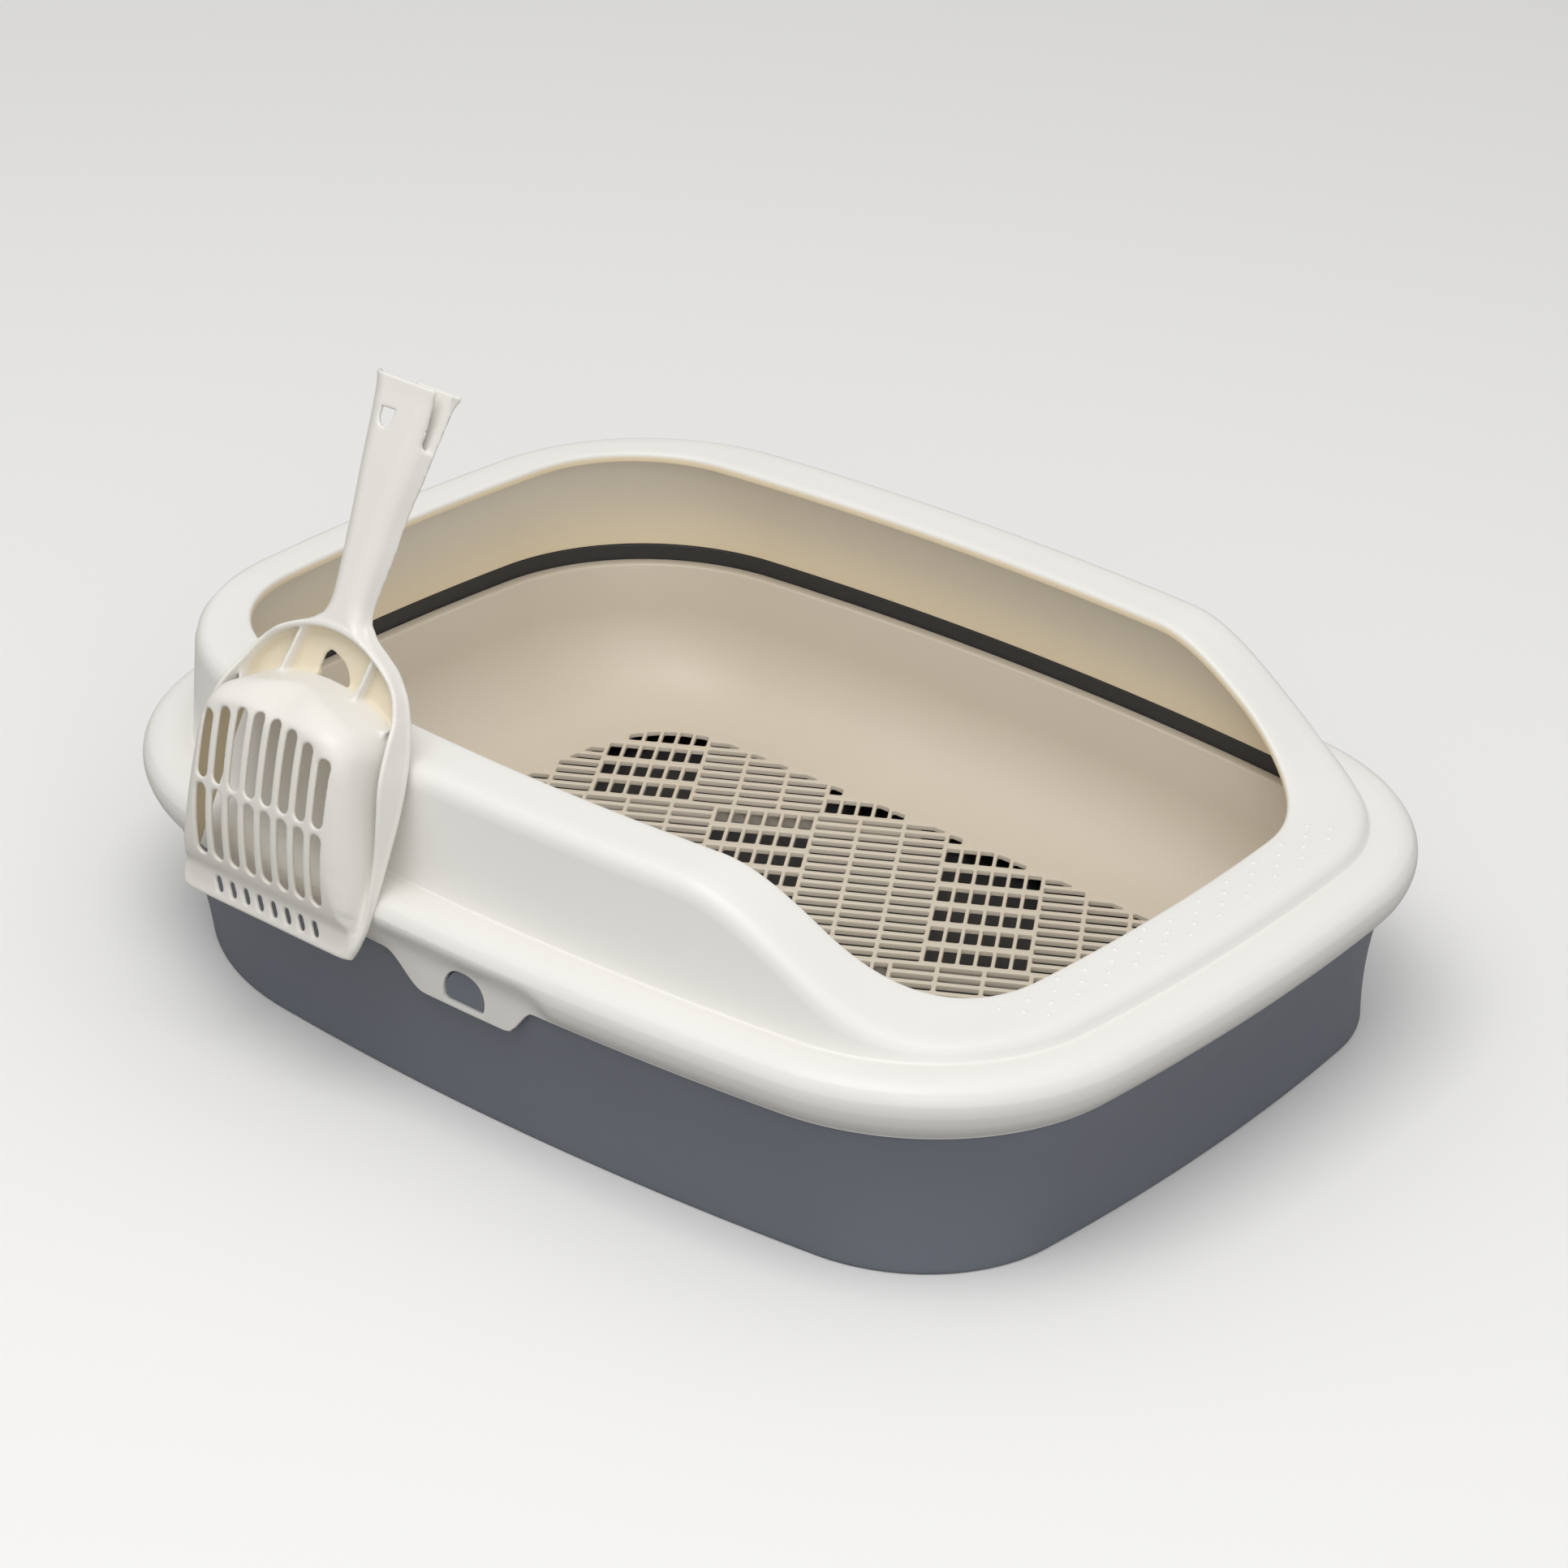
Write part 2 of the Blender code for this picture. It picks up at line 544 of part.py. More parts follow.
def hood():
    """Flange, raised wall and ledge in one ring, with a tab over each lug and the scoop's hook."""
    foot = GROOVE_INSET + WALL
    seat = WASTE_RIM_TOP + GAP
    wall = [(WALL_INSET, top_fillet(1.0)), (WALL_INSET + 0.0026, top_fillet(0.36)),
            (WALL_INSET + 0.0068, top_fillet(0.08)), (WALL_INSET + 0.0115, top_fillet(0.0))]
    lining = [(foot + 0.0095, below_top(LEDGE_THICKNESS)), (foot + 0.0032, above_groove(0.90, seat)),
              (foot + 0.0012, above_groove(0.27, seat)), (WASTE_RIM_INSET, seat + 0.0015),
              (WASTE_RIM_INSET, seat), (WASTE_RIM_INSET - WALL, seat)]
    rings = flange_rings(FLANGE_FACE)
    rings.append(ring(FLANGE.inset(GROOVE_INSET), GROOVE_HEIGHT))
    rings += [ring(FLANGE.inset(inset), height) for inset, height in wall]
    rings += [ring(MOUTH, below_top(0.0)), ring(MOUTH, below_top(MOUTH_LIP)),
              ring(MOUTH.inset(-WALL), below_top(MOUTH_LIP)),
              ring(MOUTH.inset(-WALL), below_top(LEDGE_THICKNESS))]
    rings += [ring(FLANGE.inset(inset), height) for inset, height in lining]
    rings += flange_rings(reversed(FLANGE_LINING))
    shell = loft("hood", rings, closed=True)
    tab = [(y, PAN_HEIGHT - drop) for y, drop in TAB_EDGE]
    face = FLANGE.half - TAB_FACE_INSET
    combine(shell, side_prisms("tabs", tab, face - TAB_THICKNESS, face), "UNION")
    holes = side_prisms("tab_holes", d_outline(LUG_CLEARANCE), face - 2 * TAB_THICKNESS, face + TAB_THICKNESS)
    combine(shell, holes, "DIFFERENCE")
    combine(shell, scoop_hook(), "UNION")
    finish(shell, material("hood_plastic", (0.80, 0.78, 0.74), 0.35))
    return shell


def scoop_hook():
    """A tongue that stands on the hood's top edge and reaches into the scoop's bowl."""
    corner = HOOK_CORNER
    left = HOOK_HALF_WIDTH - corner
    rounded = [(left + corner * math.cos(angle), HOOK_Z[1] - corner + corner * math.sin(angle))
               for angle in np.linspace(0, math.pi / 2, 4)]
    outline = [(HOOK_HALF_WIDTH, HOOK_Z[0])] + rounded + [(-y, z) for y, z in reversed(rounded)]
    outline.append((-HOOK_HALF_WIDTH, HOOK_Z[0]))
    vertices = [(x, SCOOP_Y + y, z) for x in HOOK_X for y, z in outline]
    count = len(outline)
    faces = [tuple(range(count)), tuple(range(count, 2 * count))]
    for index in range(count):
        following = (index + 1) % count
        faces.append((index, following, count + following, count + index))
    return add_object("scoop_hook", vertices, faces)


def rim_outline():
    """The scoop's rim seen square on, from the lip round the shoulder to the handle's root."""
    side = [(half, along) for half, along, height in RIM]
    return side + [(-half, along) for half, along in reversed(side)]


def rim_wall(name, side):
    """The wall along one side of the rim: upright strips of changing height, from the lip to the root."""
    path = np.array([(side * half, along) for half, along, height in RIM])
    links = np.gradient(path, axis=0)
    inward = np.column_stack((-links[:, 1], links[:, 0])) / np.linalg.norm(links, axis=1)[:, None] * side
    inner = path + inward * SCOOP_WALL
    sections = []
    for index in range(RIM_WALL_FROM, len(RIM)):
        top = RIM[index][2]
        sections.append([(*path[index], SCOOP_WALL / 2), (*path[index], top), (*inner[index], top),
                         (*inner[index], SCOOP_WALL / 2)])
    return loft(name, sections)


def bowl_section(station, depth, half, wall, rim):
    """The bowl cut across at one station: open at the rim's height, with round corners at its depth."""
    half_top = half - wall
    bottom = depth - wall
    half_bottom = half_top - BOWL_DRAFT * bottom
    corner = min(BOWL_CORNER, BOWL_CORNER_SHARE * bottom)
    rounded = [(half_bottom - corner + corner * math.cos(angle), bottom - corner + corner * math.sin(angle))
               for angle in np.linspace(0, math.pi / 2, 5)]
    side = [(half_top, rim)] + rounded
    outline = side + [(-across, out) for across, out in reversed(side)]
    return [(across, station, out) for across, out in outline]


def bowl_solid(name, wall, rim):
    """The bowl's outer form, or its hollow when a wall thickness is given."""
    stations = [list(station) for station in (BOWL[1:] if wall else BOWL)]
    stations[-1][0] -= wall
    stations[-2][0] -= wall / 2
    return loft(name, [bowl_section(*station, wall, rim) for station in stations])


def handle_section(share, bend, back, front, depth):
    """An arch open at the back: side walls that lean in, and a flat front between chamfers."""
    def side(wall):
        chamfer = HANDLE_CHAMFER - wall / 2
        return [(back - wall, 0.0), (front - wall / 2, depth - wall - chamfer),
                (front - wall / 2 - chamfer, depth - wall)]

    along = HANDLE_ROOT + (SCOOP_LENGTH - HANDLE_ROOT) * share
    outer = side(0.0)
    inner = side(SCOOP_WALL)
    outline = outer + [(-across, out) for across, out in reversed(outer)]
    outline += [(-across, out) for across, out in inner] + list(reversed(inner))
    return [(across, along, bend + out) for across, out in outline]


def below_tip(corners):
    """Corners given down from the handle's tip, in the scoop's own frame."""
    return [(across, SCOOP_LENGTH - down) for across, down in corners]


def slot_outline(centre, low, high, width):
    """A slot with round ends, along the scoop."""
    radius = width / 2
    top = [(centre + radius * math.cos(angle), high - radius + radius * math.sin(angle))
           for angle in np.linspace(0, math.pi, 4)]
    bottom = [(centre - radius * math.cos(angle), low + radius - radius * math.sin(angle))
              for angle in np.linspace(0, math.pi, 4)]
    return top + bottom


def scoop_cutters():
    """Everything that pierces the bowl's back: two rows of slots and a row of slits at the lip."""
    outlines = []
    for index in range(BAR_SLOT_COUNT):
        centre = (index - (BAR_SLOT_COUNT - 1) / 2) * BAR_SLOT_PITCH
        drop = UPPER_SLOTS_DROP * (2 * abs(centre) / (BAR_SLOT_COUNT * BAR_SLOT_PITCH)) ** 2
        outlines.append(slot_outline(centre, *LOWER_SLOTS, BAR_SLOT_WIDTH))
        outlines.append(slot_outline(centre, UPPER_SLOTS[0], UPPER_SLOTS[1] - drop, BAR_SLOT_WIDTH))
    across = np.array((math.cos(LIP_SLIT_LEAN), math.sin(LIP_SLIT_LEAN)))
    along = np.array((-across[1], across[0]))
    for index in range(BAR_SLOT_COUNT):
        centre = np.array(((index - (BAR_SLOT_COUNT - 1) / 2) * LIP_SLIT_PITCH, LIP_SLIT_ALONG))
        outlines.append(box_outline(centre, LIP_SLIT_SIZE, across, along))
    return prisms("bar_slots", outlines, -SCOOP_THROUGH, SCOOP_THROUGH)


def shoulder_ribs():
    """Thin ribs from the bowl's shoulder out to the rim's wall."""
    outlines = []
    for outer, inner in SHOULDER_RIBS:
        link = np.subtract(outer, inner)
        length = np.linalg.norm(link)
        across = link / length
        outlines.append(box_outline(np.add(outer, inner) / 2, (length, RIB_THICKNESS), across,
                                    np.array((-across[1], across[0]))))
    return prisms("shoulder_ribs", outlines, SCOOP_WALL / 2, RIB_TOP)


def scoop():
    """Rim plate and walls, bowl, ribs and handle in one, then the hollow, the slots and the holes."""
    body = prisms("scoop", [rim_outline()], 0.0, SCOOP_WALL)
    combine(body, rim_wall("right_wall", 1), "UNION")
    combine(body, rim_wall("left_wall", -1), "UNION")
    combine(body, bowl_solid("bowl", 0.0, SCOOP_WALL / 4), "UNION")
    combine(body, shoulder_ribs(), "UNION")
    combine(body, loft("handle", [handle_section(*station) for station in HANDLE]), "UNION")
    combine(body, prisms("back_plate", [below_tip(BACK_PLATE)], *BACK_PLATE_DEPTH), "UNION")
    combine(body, bowl_solid("bowl_hollow", SCOOP_WALL, -SCOOP_THROUGH), "DIFFERENCE")
    combine(body, scoop_cutters(), "DIFFERENCE")
    combine(body, prisms("tip_slot", [below_tip(TIP_SLOT)], SCOOP_WALL / 2, SCOOP_THROUGH), "DIFFERENCE")
    holes = [below_tip(HANG_HOLE), ROOT_HOLE]
    combine(body, prisms("through_holes", holes, -SCOOP_THROUGH, SCOOP_THROUGH), "DIFFERENCE")
    finish(body, material("scoop_plastic", (0.80, 0.78, 0.73), 0.35))
    turn = Matrix(((0.0, math.sin(SCOOP_LEAN), -math.cos(SCOOP_LEAN)),
                   (-1.0, 0.0, 0.0),
                   (0.0, math.cos(SCOOP_LEAN), math.sin(SCOOP_LEAN)))).to_4x4()
    place = Matrix.Translation((SCOOP_LIP_X, SCOOP_Y, SCOOP_LIP_Z)) @ turn
    body.matrix_world = place
    for modifier in body.modifiers:
        modifier.object.parent = body
    return body


def clear_scene():
    for item in list(bpy.data.objects):
        bpy.data.objects.remove(item, do_unlink=True)


clear_scene()
base_pan()
waste_tray()
sifting_tray()
sieve_grid()
hood()
scoop()
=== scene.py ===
"""Sifting litter box, dressed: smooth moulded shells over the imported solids, their plastics, and the studio.

Metres, +Z up. +Y points to the high back end and -Y to the entry. The scoop hangs on the -X side.
Shells are surfaces of two parameters: columns round a rounded outline, and rows along a section.
"""

import itertools
import math
from typing import NamedTuple

import bmesh
import bpy
import numpy as np
from mathutils import Matrix, Vector
from mathutils.geometry import delaunay_2d_cdt


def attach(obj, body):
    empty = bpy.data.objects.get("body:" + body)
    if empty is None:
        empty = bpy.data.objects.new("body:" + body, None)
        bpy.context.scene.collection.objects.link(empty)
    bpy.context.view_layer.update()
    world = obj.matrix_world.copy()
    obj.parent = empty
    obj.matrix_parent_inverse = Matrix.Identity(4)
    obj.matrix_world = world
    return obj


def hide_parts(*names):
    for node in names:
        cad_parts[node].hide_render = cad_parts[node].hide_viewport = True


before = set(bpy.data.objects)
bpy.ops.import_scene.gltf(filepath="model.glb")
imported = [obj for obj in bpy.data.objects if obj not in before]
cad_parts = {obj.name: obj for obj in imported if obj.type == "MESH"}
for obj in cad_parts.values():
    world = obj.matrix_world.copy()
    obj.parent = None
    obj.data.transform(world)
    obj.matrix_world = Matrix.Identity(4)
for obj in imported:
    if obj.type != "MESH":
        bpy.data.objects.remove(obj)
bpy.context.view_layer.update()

# Columns round a ring: side, corner and end arcs of each quarter
COLUMNS = (60, 34, 26)
GAP = 0.0003
WALL = 0.0024
TAPER = 0.0489
SHARP_ANGLE = math.radians(50)

# Base pan
PAN_HEIGHT = 0.088
PAN_FLOOR = 0.0026
PAN_RIM_INSET = 0.0030
PAN_RIM_EDGE = 0.0009
PAN_SHOULDER = 0.060
PAN_SHOULDER_INSET = 0.0045
PAN_LEAN = 0.124
PAN_FOOT_FILLET = 0.0016
PAN_FLOOR_FILLET = 0.012
PAN_WALL_HEIGHTS = np.linspace(0.004, 0.084, 15)
UNDERSIDE_INSET = 0.02
LUG_CENTRE = (-0.002, PAN_HEIGHT - 0.0225)
LUG_RADIUS = 0.0115
LUG_FLAT_Z = PAN_HEIGHT - 0.0265
LUG_CORNER = 0.0016
LUG_EDGE = 0.0009
LUG_ROOT_X = 0.2040
LUG_FACE_X = 0.2100
LUG_CLEARANCE = 0.0008

# Waste tray
WASTE_FLOOR_TOP = PAN_FLOOR + GAP + WALL
WASTE_RIM_TOP = PAN_HEIGHT + 0.0070
WASTE_RIM_INSET = 0.0199
WASTE_STEP_HEIGHT = PAN_HEIGHT - 0.0035
WASTE_STEP_INSET = 0.023
WASTE_LEAN = 0.105
WASTE_FLOOR_FILLET = 0.016
WASTE_FLOOR_REACH = 0.03

# Sifting tray
LIP_TOP = WASTE_STEP_HEIGHT + GAP + 0.0022
LIP_BOTTOM = WASTE_STEP_HEIGHT + GAP
LIP_OUTER_INSET = 0.0203
LIP_INNER_INSET = 0.027
SIEVE_TOP = WASTE_FLOOR_TOP + 0.0127
SIEVE_THICKNESS = 0.0025
BOWL_HEIGHT = LIP_TOP - 0.021
BOWL_INSET = 0.0292
WEAVE_ANGLE = math.radians(-57.8)
WEAVE_ACROSS = np.array((math.cos(WEAVE_ANGLE), math.sin(WEAVE_ANGLE)))
WEAVE_ALONG = np.array((math.sin(WEAVE_ANGLE), -math.cos(WEAVE_ANGLE)))
WEAVE_CENTRE = np.array((0.0901, -0.0638))
HOLE_SIZE = (0.0066, 0.0148)
HOLE_PITCH = (0.00834, 0.01983)
HOLE_COUNT = (6, 7)
BAND_PITCH = HOLE_COUNT[1] * HOLE_PITCH[1]
SLOT_SIZE = (0.0200, 0.0057)
SLOT_COUNT = (3, 16)
SLOT_PITCH = (0.0221, BAND_PITCH / SLOT_COUNT[1])
BLOCK_PITCH = 0.1165
BAND_SHIFT = -0.0641
WEAVE_BORDER = 0.0016
# Bands and blocks on each side of the weave's centre, more than the floor holds
WEAVE_REACH = 4
# Least area that a clipped opening keeps
SMALLEST_OPENING = 30e-6
OPENING_CORNER = 0.0013
OPENING_FILLET = 0.0005
OPENING_COLUMNS = 16
RIB_WIDTH = 0.002
# A rib's length before it is cut to the floor's outline
RIB_LENGTH = 2.0
RIB_BOTTOM = WASTE_FLOOR_TOP + 0.0042

# Hood
SKIRT_BOTTOM = PAN_HEIGHT - 0.0164
SKIRT_WALL = 0.0023
SKIRT_LINING_FOOT = 0.0728
GROOVE_HEIGHT = PAN_HEIGHT + 0.0120
GROOVE_INSET = 0.0127
HOOD_TOP = PAN_HEIGHT + 0.067
ENTRY_TOP = PAN_HEIGHT + 0.020
RISE_FROM_Y = -0.221
RISE_TO_Y = -0.103
WALL_INSET = 0.0150
TOP_FILLET = 0.009
TOP_FILLET_REACH = 0.0115
# The top fillet's height where the wall is low, as a share of the wall
TOP_FILLET_SHARE = 0.75
LEDGE_INSET = WALL_INSET + TOP_FILLET_REACH + 0.002
LEDGE_THICKNESS = 0.0025
LEDGE_FOOT_INSET = GROOVE_INSET + WALL + 0.0012
LEDGE_FOOT_FILLET = 0.006
MOUTH_LIP = 0.005
# The mouth's edge and lip: how far outside the mouth's outline, how far below the top, fillet
MOUTH_SECTION = ((0.0, 0.0, 0.0026), (0.0, MOUTH_LIP, 0.0007), (WALL, MOUTH_LIP, 0.0007),
                 (WALL, LEDGE_THICKNESS, 0.0008))
TAB_BOTTOM = PAN_HEIGHT - 0.0305
TAB_HOLE_X = (0.2000, 0.2150)
# Where a tab's edge dips, and where the flange is flat over it: Y where each S-curve starts and ends
TAB_DIP = (-0.0415, -0.0265, 0.0220, 0.0470)
TAB_FLAT = (-0.060, -0.038, 0.036, 0.058)
# The flange's outside and lining near the skirt: inset, inset over the tabs, height, fillet
SKIRT_OUTSIDE = ((0.0, 0.0, 0.0722, 0.0020), (-0.0066, -0.0008, 0.0785, 0.004),
                 (-0.0100, -0.0062, 0.0845, 0.004))
SKIRT_LINING = ((-0.0072, -0.0034, 0.0842, 0.002), (SKIRT_WALL - 0.0040, SKIRT_WALL - 0.0004, 0.0780, 0.001))
# The flange's shoulder down to the groove, and its lining from the tray's rim out: inset, height, fillet
SHOULDER = ((-0.0110, 0.0905, 0.004), (-0.0096, 0.0957, 0.004), (-0.0055, 0.0998, 0.004),
            (0.0010, 0.1016, 0.004), (0.0085, 0.1013, 0.003), (GROOVE_INSET, GROOVE_HEIGHT, 0.0012))
HOOD_SEAT = WASTE_RIM_TOP + GAP
SHOULDER_LINING = ((WASTE_RIM_INSET, HOOD_SEAT + 0.0015, 0.0006), (WASTE_RIM_INSET, HOOD_SEAT, 0.0003),
                   (WASTE_RIM_INSET - WALL, HOOD_SEAT, 0.0003), (GROOVE_INSET - 0.001, 0.0978, 0.001),
                   (0.0060, 0.0991, 0.002), (-0.0040, 0.0975, 0.002), (-0.0074, 0.0940, 0.002),
                   (SKIRT_WALL - 0.0108, 0.0905, 0.002))
BUMP_PITCH = 0.0104
BUMP_TURN = math.radians(209.5)
BUMP_START = np.array((0.0741, -0.2212))
BUMP_SIZE = (0.0015, 0.0015, 0.0007)
BUMP_SINK = 0.0001
# Rows and columns of a bump, and the angle at which its rows stop short of its poles
BUMP_GRID = (7, 10)
BUMP_POLE = 0.08
BUMPS_FROM_MOUTH = 0.0035
BUMPS_FROM_EDGE = 0.004
BUMPS_HALF_WIDTH = 0.118
BUMPS_BACK = -0.19
SCOOP_Y = 0.099
HOOK_X = (-0.1910, -0.1886)
HOOK_Z = (PAN_HEIGHT + 0.0600, PAN_HEIGHT + 0.0871)
HOOK_HALF_WIDTH = 0.014
HOOK_CORNER = 0.005
HOOK_EDGE = 0.0006

# Where the scoop's lip hangs, and how far the scoop leans from upright
SCOOP_LIP = (-0.2297, SCOOP_Y, PAN_HEIGHT - 0.016)
SCOOP_LEAN = math.atan(0.416)

# Scoop, in its own frame and in millimetres: across, along from lip to tip, and out of the rim plane
SCOOP_WALL = 2.2
SCOOP_LENGTH = 249.9
# Rim, half of it: across, along, height of the wall that stands on it
SCOOP_RIM = np.array((
    (0, 0, 2.2), (45, 0, 2.2), (49.6, 1, 2.2), (52.4, 4, 2.3), (54.4, 8.5, 2.6), (56.2, 16, 3.4),
    (56.6, 30, 5.2), (56.5, 48, 8.5), (56.2, 66, 14), (54.8, 82, 17.5), (51.5, 98, 15),
    (48, 108, 11.2), (42, 119, 9.4), (33, 127.3, 9.3), (24.5, 132.3, 8.6), (17.6, 136.4, 6.5),
    (13, 140.5, 5), (8, 141, 5), (0, 141, 5)))
# Bowl's outline at the rim plane, half of it: across, along
SCOOP_BOWL = np.array((
    (0, -3), (50.5, -3), (52.6, 3), (53.4, 12), (53.2, 24), (52.2, 40), (51.2, 56), (50.2, 72),
    (49.2, 84), (47.4, 94), (43.5, 101.5), (37, 106.6), (28, 110), (18, 112.6), (9, 114),
    (0, 114.4)))
# Bowl's back: along, out
SCOOP_BACK = np.array((
    (-3, 1), (0, 2.4), (4, 3.6), (8, 4.8), (11.5, 6), (13.5, 7.6), (16, 11), (19, 13.6),
    (24, 16.8), (34, 21.8), (43, 25.6), (52, 28.8), (62, 31.6), (72, 34), (82, 36),
    (92, 37.4), (104, 38), (120, 38)))
# How steeply the back's field rises with the distance from it: along, share
BACK_STEEPNESS = np.array(((11, 0.92), (13, 0.5), (19, 0.5), (22, 0.82), (60, 1)))
# Least and most radius of the back's round edge, which is a share of the back's height above 1 mm
BACK_ROUNDING = (1.2, 9.0)
BACK_ROUNDING_SHARE = 0.42
DENT_DEPTH = 8.0
DENT_HALF_WIDTH = 14.0
# Where along the scoop the dent, the crown, the end's rounding and its lean set in: start, end
DENT_SPAN = (90.0, 108.0)
CROWN_SPAN = (30.0, 60.0)
END_SPAN = (80.0, 100.0)
LEAN_SPAN = (88.0, 104.0)
# The back's crown: how far it falls off toward the sides
CROWN_HEIGHT = 1.2
CROWN_HALF_WIDTH = 45.0
# What the back's round edge gains at the bowl's end, the slope of the bowl's walls, and what that gains
END_ROUNDING = 4.0
SIDE_LEAN = 0.15
END_LEAN = 0.10
# Handle: along, bend, half-width at its open back and at its front, depth
SCOOP_HANDLE = np.array((
    (122, 0, 38, 38, 10.2), (127.3, 0, 33, 33, 10.2), (132.3, 0, 24.6, 24.4, 10.2),
    (136.4, 0, 17.6, 15.6, 10.2), (140.5, 0, 13.4, 10.8, 10.2), (147, 0, 11.6, 8.4, 10.2),
    (155, 0, 12, 7.9, 10.2), (173, 0, 14.4, 8.6, 10.2), (191, 0, 15.9, 10, 10.2),
    (209, -0.2, 18.6, 11.7, 10.2), (227, -0.7, 20.8, 13.4, 10.2), (236, -1, 22, 14.6, 10.2),
    (244, -1.4, 23.4, 16, 10.3), (253, -2.6, 27, 18.8, 11.6)))
# Radius of the handle's front edges at its root, what it gains along the grip, and how much of a step
# across counts as distance from the leaning sides
ROOT_ROUNDING = 2.4
GRIP_ROUNDING = 2.6
GRIP_SPAN = (131.0, 145.0)
SIDE_SHARE = 0.95
# Wall across the handle's root: its place, and twice the radius of its bulge
ROOT_ALONG = 135.2
ROOT_BULGE = 110
SCOOP_RIBS = (((-49.0, 110.5), (-46.5, 97.0)), ((-20.0, 133.0), (-25.5, 106.0)),
              ((24.5, 132.5), (20.0, 106.0)), ((48.5, 108.8), (38.0, 97.5)))
RIB_HALF_WIDTH = 0.8
RIB_TOP = 9.2
ROOT_HOLE = np.array((
    (-8.6, 122.4), (-6, 125.2), (-1.5, 124.4), (4, 121.9), (7.6, 118.4), (9.6, 114.6), (12, 110)))
ROOT_HOLE_FOOT = ((-8.0, 110.0), (-9.4, 116.0))
ROOT_HOLE_DEPTH = 3.4
HANG_HOLE = np.array((
    (-9, 235.6), (-8.9, 231), (-7.8, 228.6), (-5.6, 227.2), (-3.4, 227.4), (-1.8, 229.2), (-1, 232),
    (-0.8, 235.9)))
# Long slot beside the tip's rear plate, down to a thin floor, and the plate's edges: across, along
TIP_SLOT = ((18.2, 225.0), (20.0, 262.0))
TIP_SLOT_RADIUS = 2.4
TIP_SLOT_FLOOR = 1.3
TIP_PLATE = (-1.0, 205.0)
# Slots in the bowl: two rows, the far ends of the upper one on a parabola, and slanted slits by the lip
SCOOP_SLOT_COUNT = 8
SCOOP_SLOT_PITCH = 10.2
SCOOP_SLOT_RADIUS = 3.2
LOWER_SLOTS = (20.0, 52.2)
UPPER_SLOTS = (55.2, 94.6)
OUTER_SLOT_DROP = 8.2
OUTER_SLOT = 35.7
LIP_SLIT_PITCH = 8.6
LIP_SLIT_ALONG = 7.0
LIP_SLIT_REACH = 2.0
LIP_SLIT_RADIUS = 1.7
LIP_SLIT_TURN = math.radians(25)
# Radii of round edges, and fillets where walls meet
RIM_EDGE = 0.8
HOLLOW_EDGE = 0.9
PLATE_EDGE = 0.9
WALL_EDGE = 1.0
HOLE_EDGE = 1.2
HANDLE_EDGE = 1.6
PLATE_FILLET = 1.2
RIB_FILLET = 1.4
WALL_FILLET = 1.6
ROOT_FILLET = 2.0
BOWL_FILLET = 3.0
# How far ribs and bowl stay inside the rim, and the tip's plate inside the handle
EDGE_MARGIN = 0.6
PLATE_MARGIN = 1.0
# Grids that the scoop's distances and its skin are worked out on
PLAN_CELL = 0.5
PLAN_LOW = np.array((-60.0, -3.0))
PLAN_COUNT = (241, 515)
NET_STEP = 0.86
NET_LOW = np.array((-58.9, -1.9, -5.7))
NET_COUNTS = (138, 296, 57)

CAMERA_LENS = 101.79
CAMERA_SHIFT = 0.00704
CAMERA_PLACE = (-1.432576, -1.152490, 1.042724)
CAMERA_RIGHT = (0.640532, -0.767080, 0.036158)
CAMERA_UP = (0.332665, 0.319606, 0.887235)
CAMERA_BACK = (-0.692136, -0.556274, 0.459898)


class Outline(NamedTuple):
    """A rounded four-sided outline: its reach from the centre, and the radii of its arcs."""

    back: float
    front: float
    half: float
    side_radius: float
    end_radius: float
    back_corner: float
    front_corner: float

    def inset(self, distance):
        return Outline(*(value - distance for value in self))

    def toward(self, other, share):
        return Outline(*(value + (end - value) * share for value, end in zip(self, other)))


FLANGE = Outline(0.270, 0.270, 0.2105, 1.385, 1.242, 0.1256, 0.109)
FOOT = Outline(0.2583, 0.2583, 0.1987, 1.424, 1.199, 0.141, 0.080)
SIEVE = Outline(0.185, 0.185, 0.132, 4.0, 1.15, 0.048, 0.048)
MOUTH = Outline(0.231, 0.2214, 0.163, 1.3375, 1.1945, 0.072, 0.072)


def arc(centre, radius, start, end, segments):
    """Points on an arc, without its last one."""
    angles = np.linspace(start, end, segments, endpoint=False)
    return np.column_stack((centre[0] + radius * np.cos(angles), centre[1] + radius * np.sin(angles)))


def quarter(reach, corner, outline):
    """A quarter of an outline, from (half, 0) round to (0, reach): side, corner and end arcs."""
    side_centre = np.array((outline.half - outline.side_radius, 0.0))
    end_centre = np.array((0.0, reach - outline.end_radius))
    link = end_centre - side_centre
    distance = np.linalg.norm(link)
    unit = link / distance
    side_gap = outline.side_radius - corner
    end_gap = outline.end_radius - corner
    along = (side_gap ** 2 - end_gap ** 2 + distance ** 2) / (2 * distance)
    across = math.sqrt(side_gap ** 2 - along ** 2)
    corner_centre = side_centre + along * unit + across * np.array((-unit[1], unit[0]))
    first = math.atan2(*(corner_centre - side_centre)[::-1])
    last = math.atan2(*(corner_centre - end_centre)[::-1])
    return np.vstack((arc(side_centre, outline.side_radius, 0.0, first, COLUMNS[0]),
                      arc(corner_centre, corner, first, last, COLUMNS[1]),
                      arc(end_centre, outline.end_radius, last, math.pi / 2, COLUMNS[2]),
                      ((0.0, reach),)))


def flat_ring(outline):
    """The outline's points, counter-clockwise from +X, widened evenly toward the back."""
    back = quarter(outline.back, outline.back_corner, outline)
    front = quarter(outline.front, outline.front_corner, outline)
    points = np.vstack((back[:-1], (back * (-1, 1))[:0:-1],
                        (front * (-1, -1))[:-1], (front * (1, -1))[:0:-1]))
    points[:, 0] *= 1 + TAPER * points[:, 1]
    return points


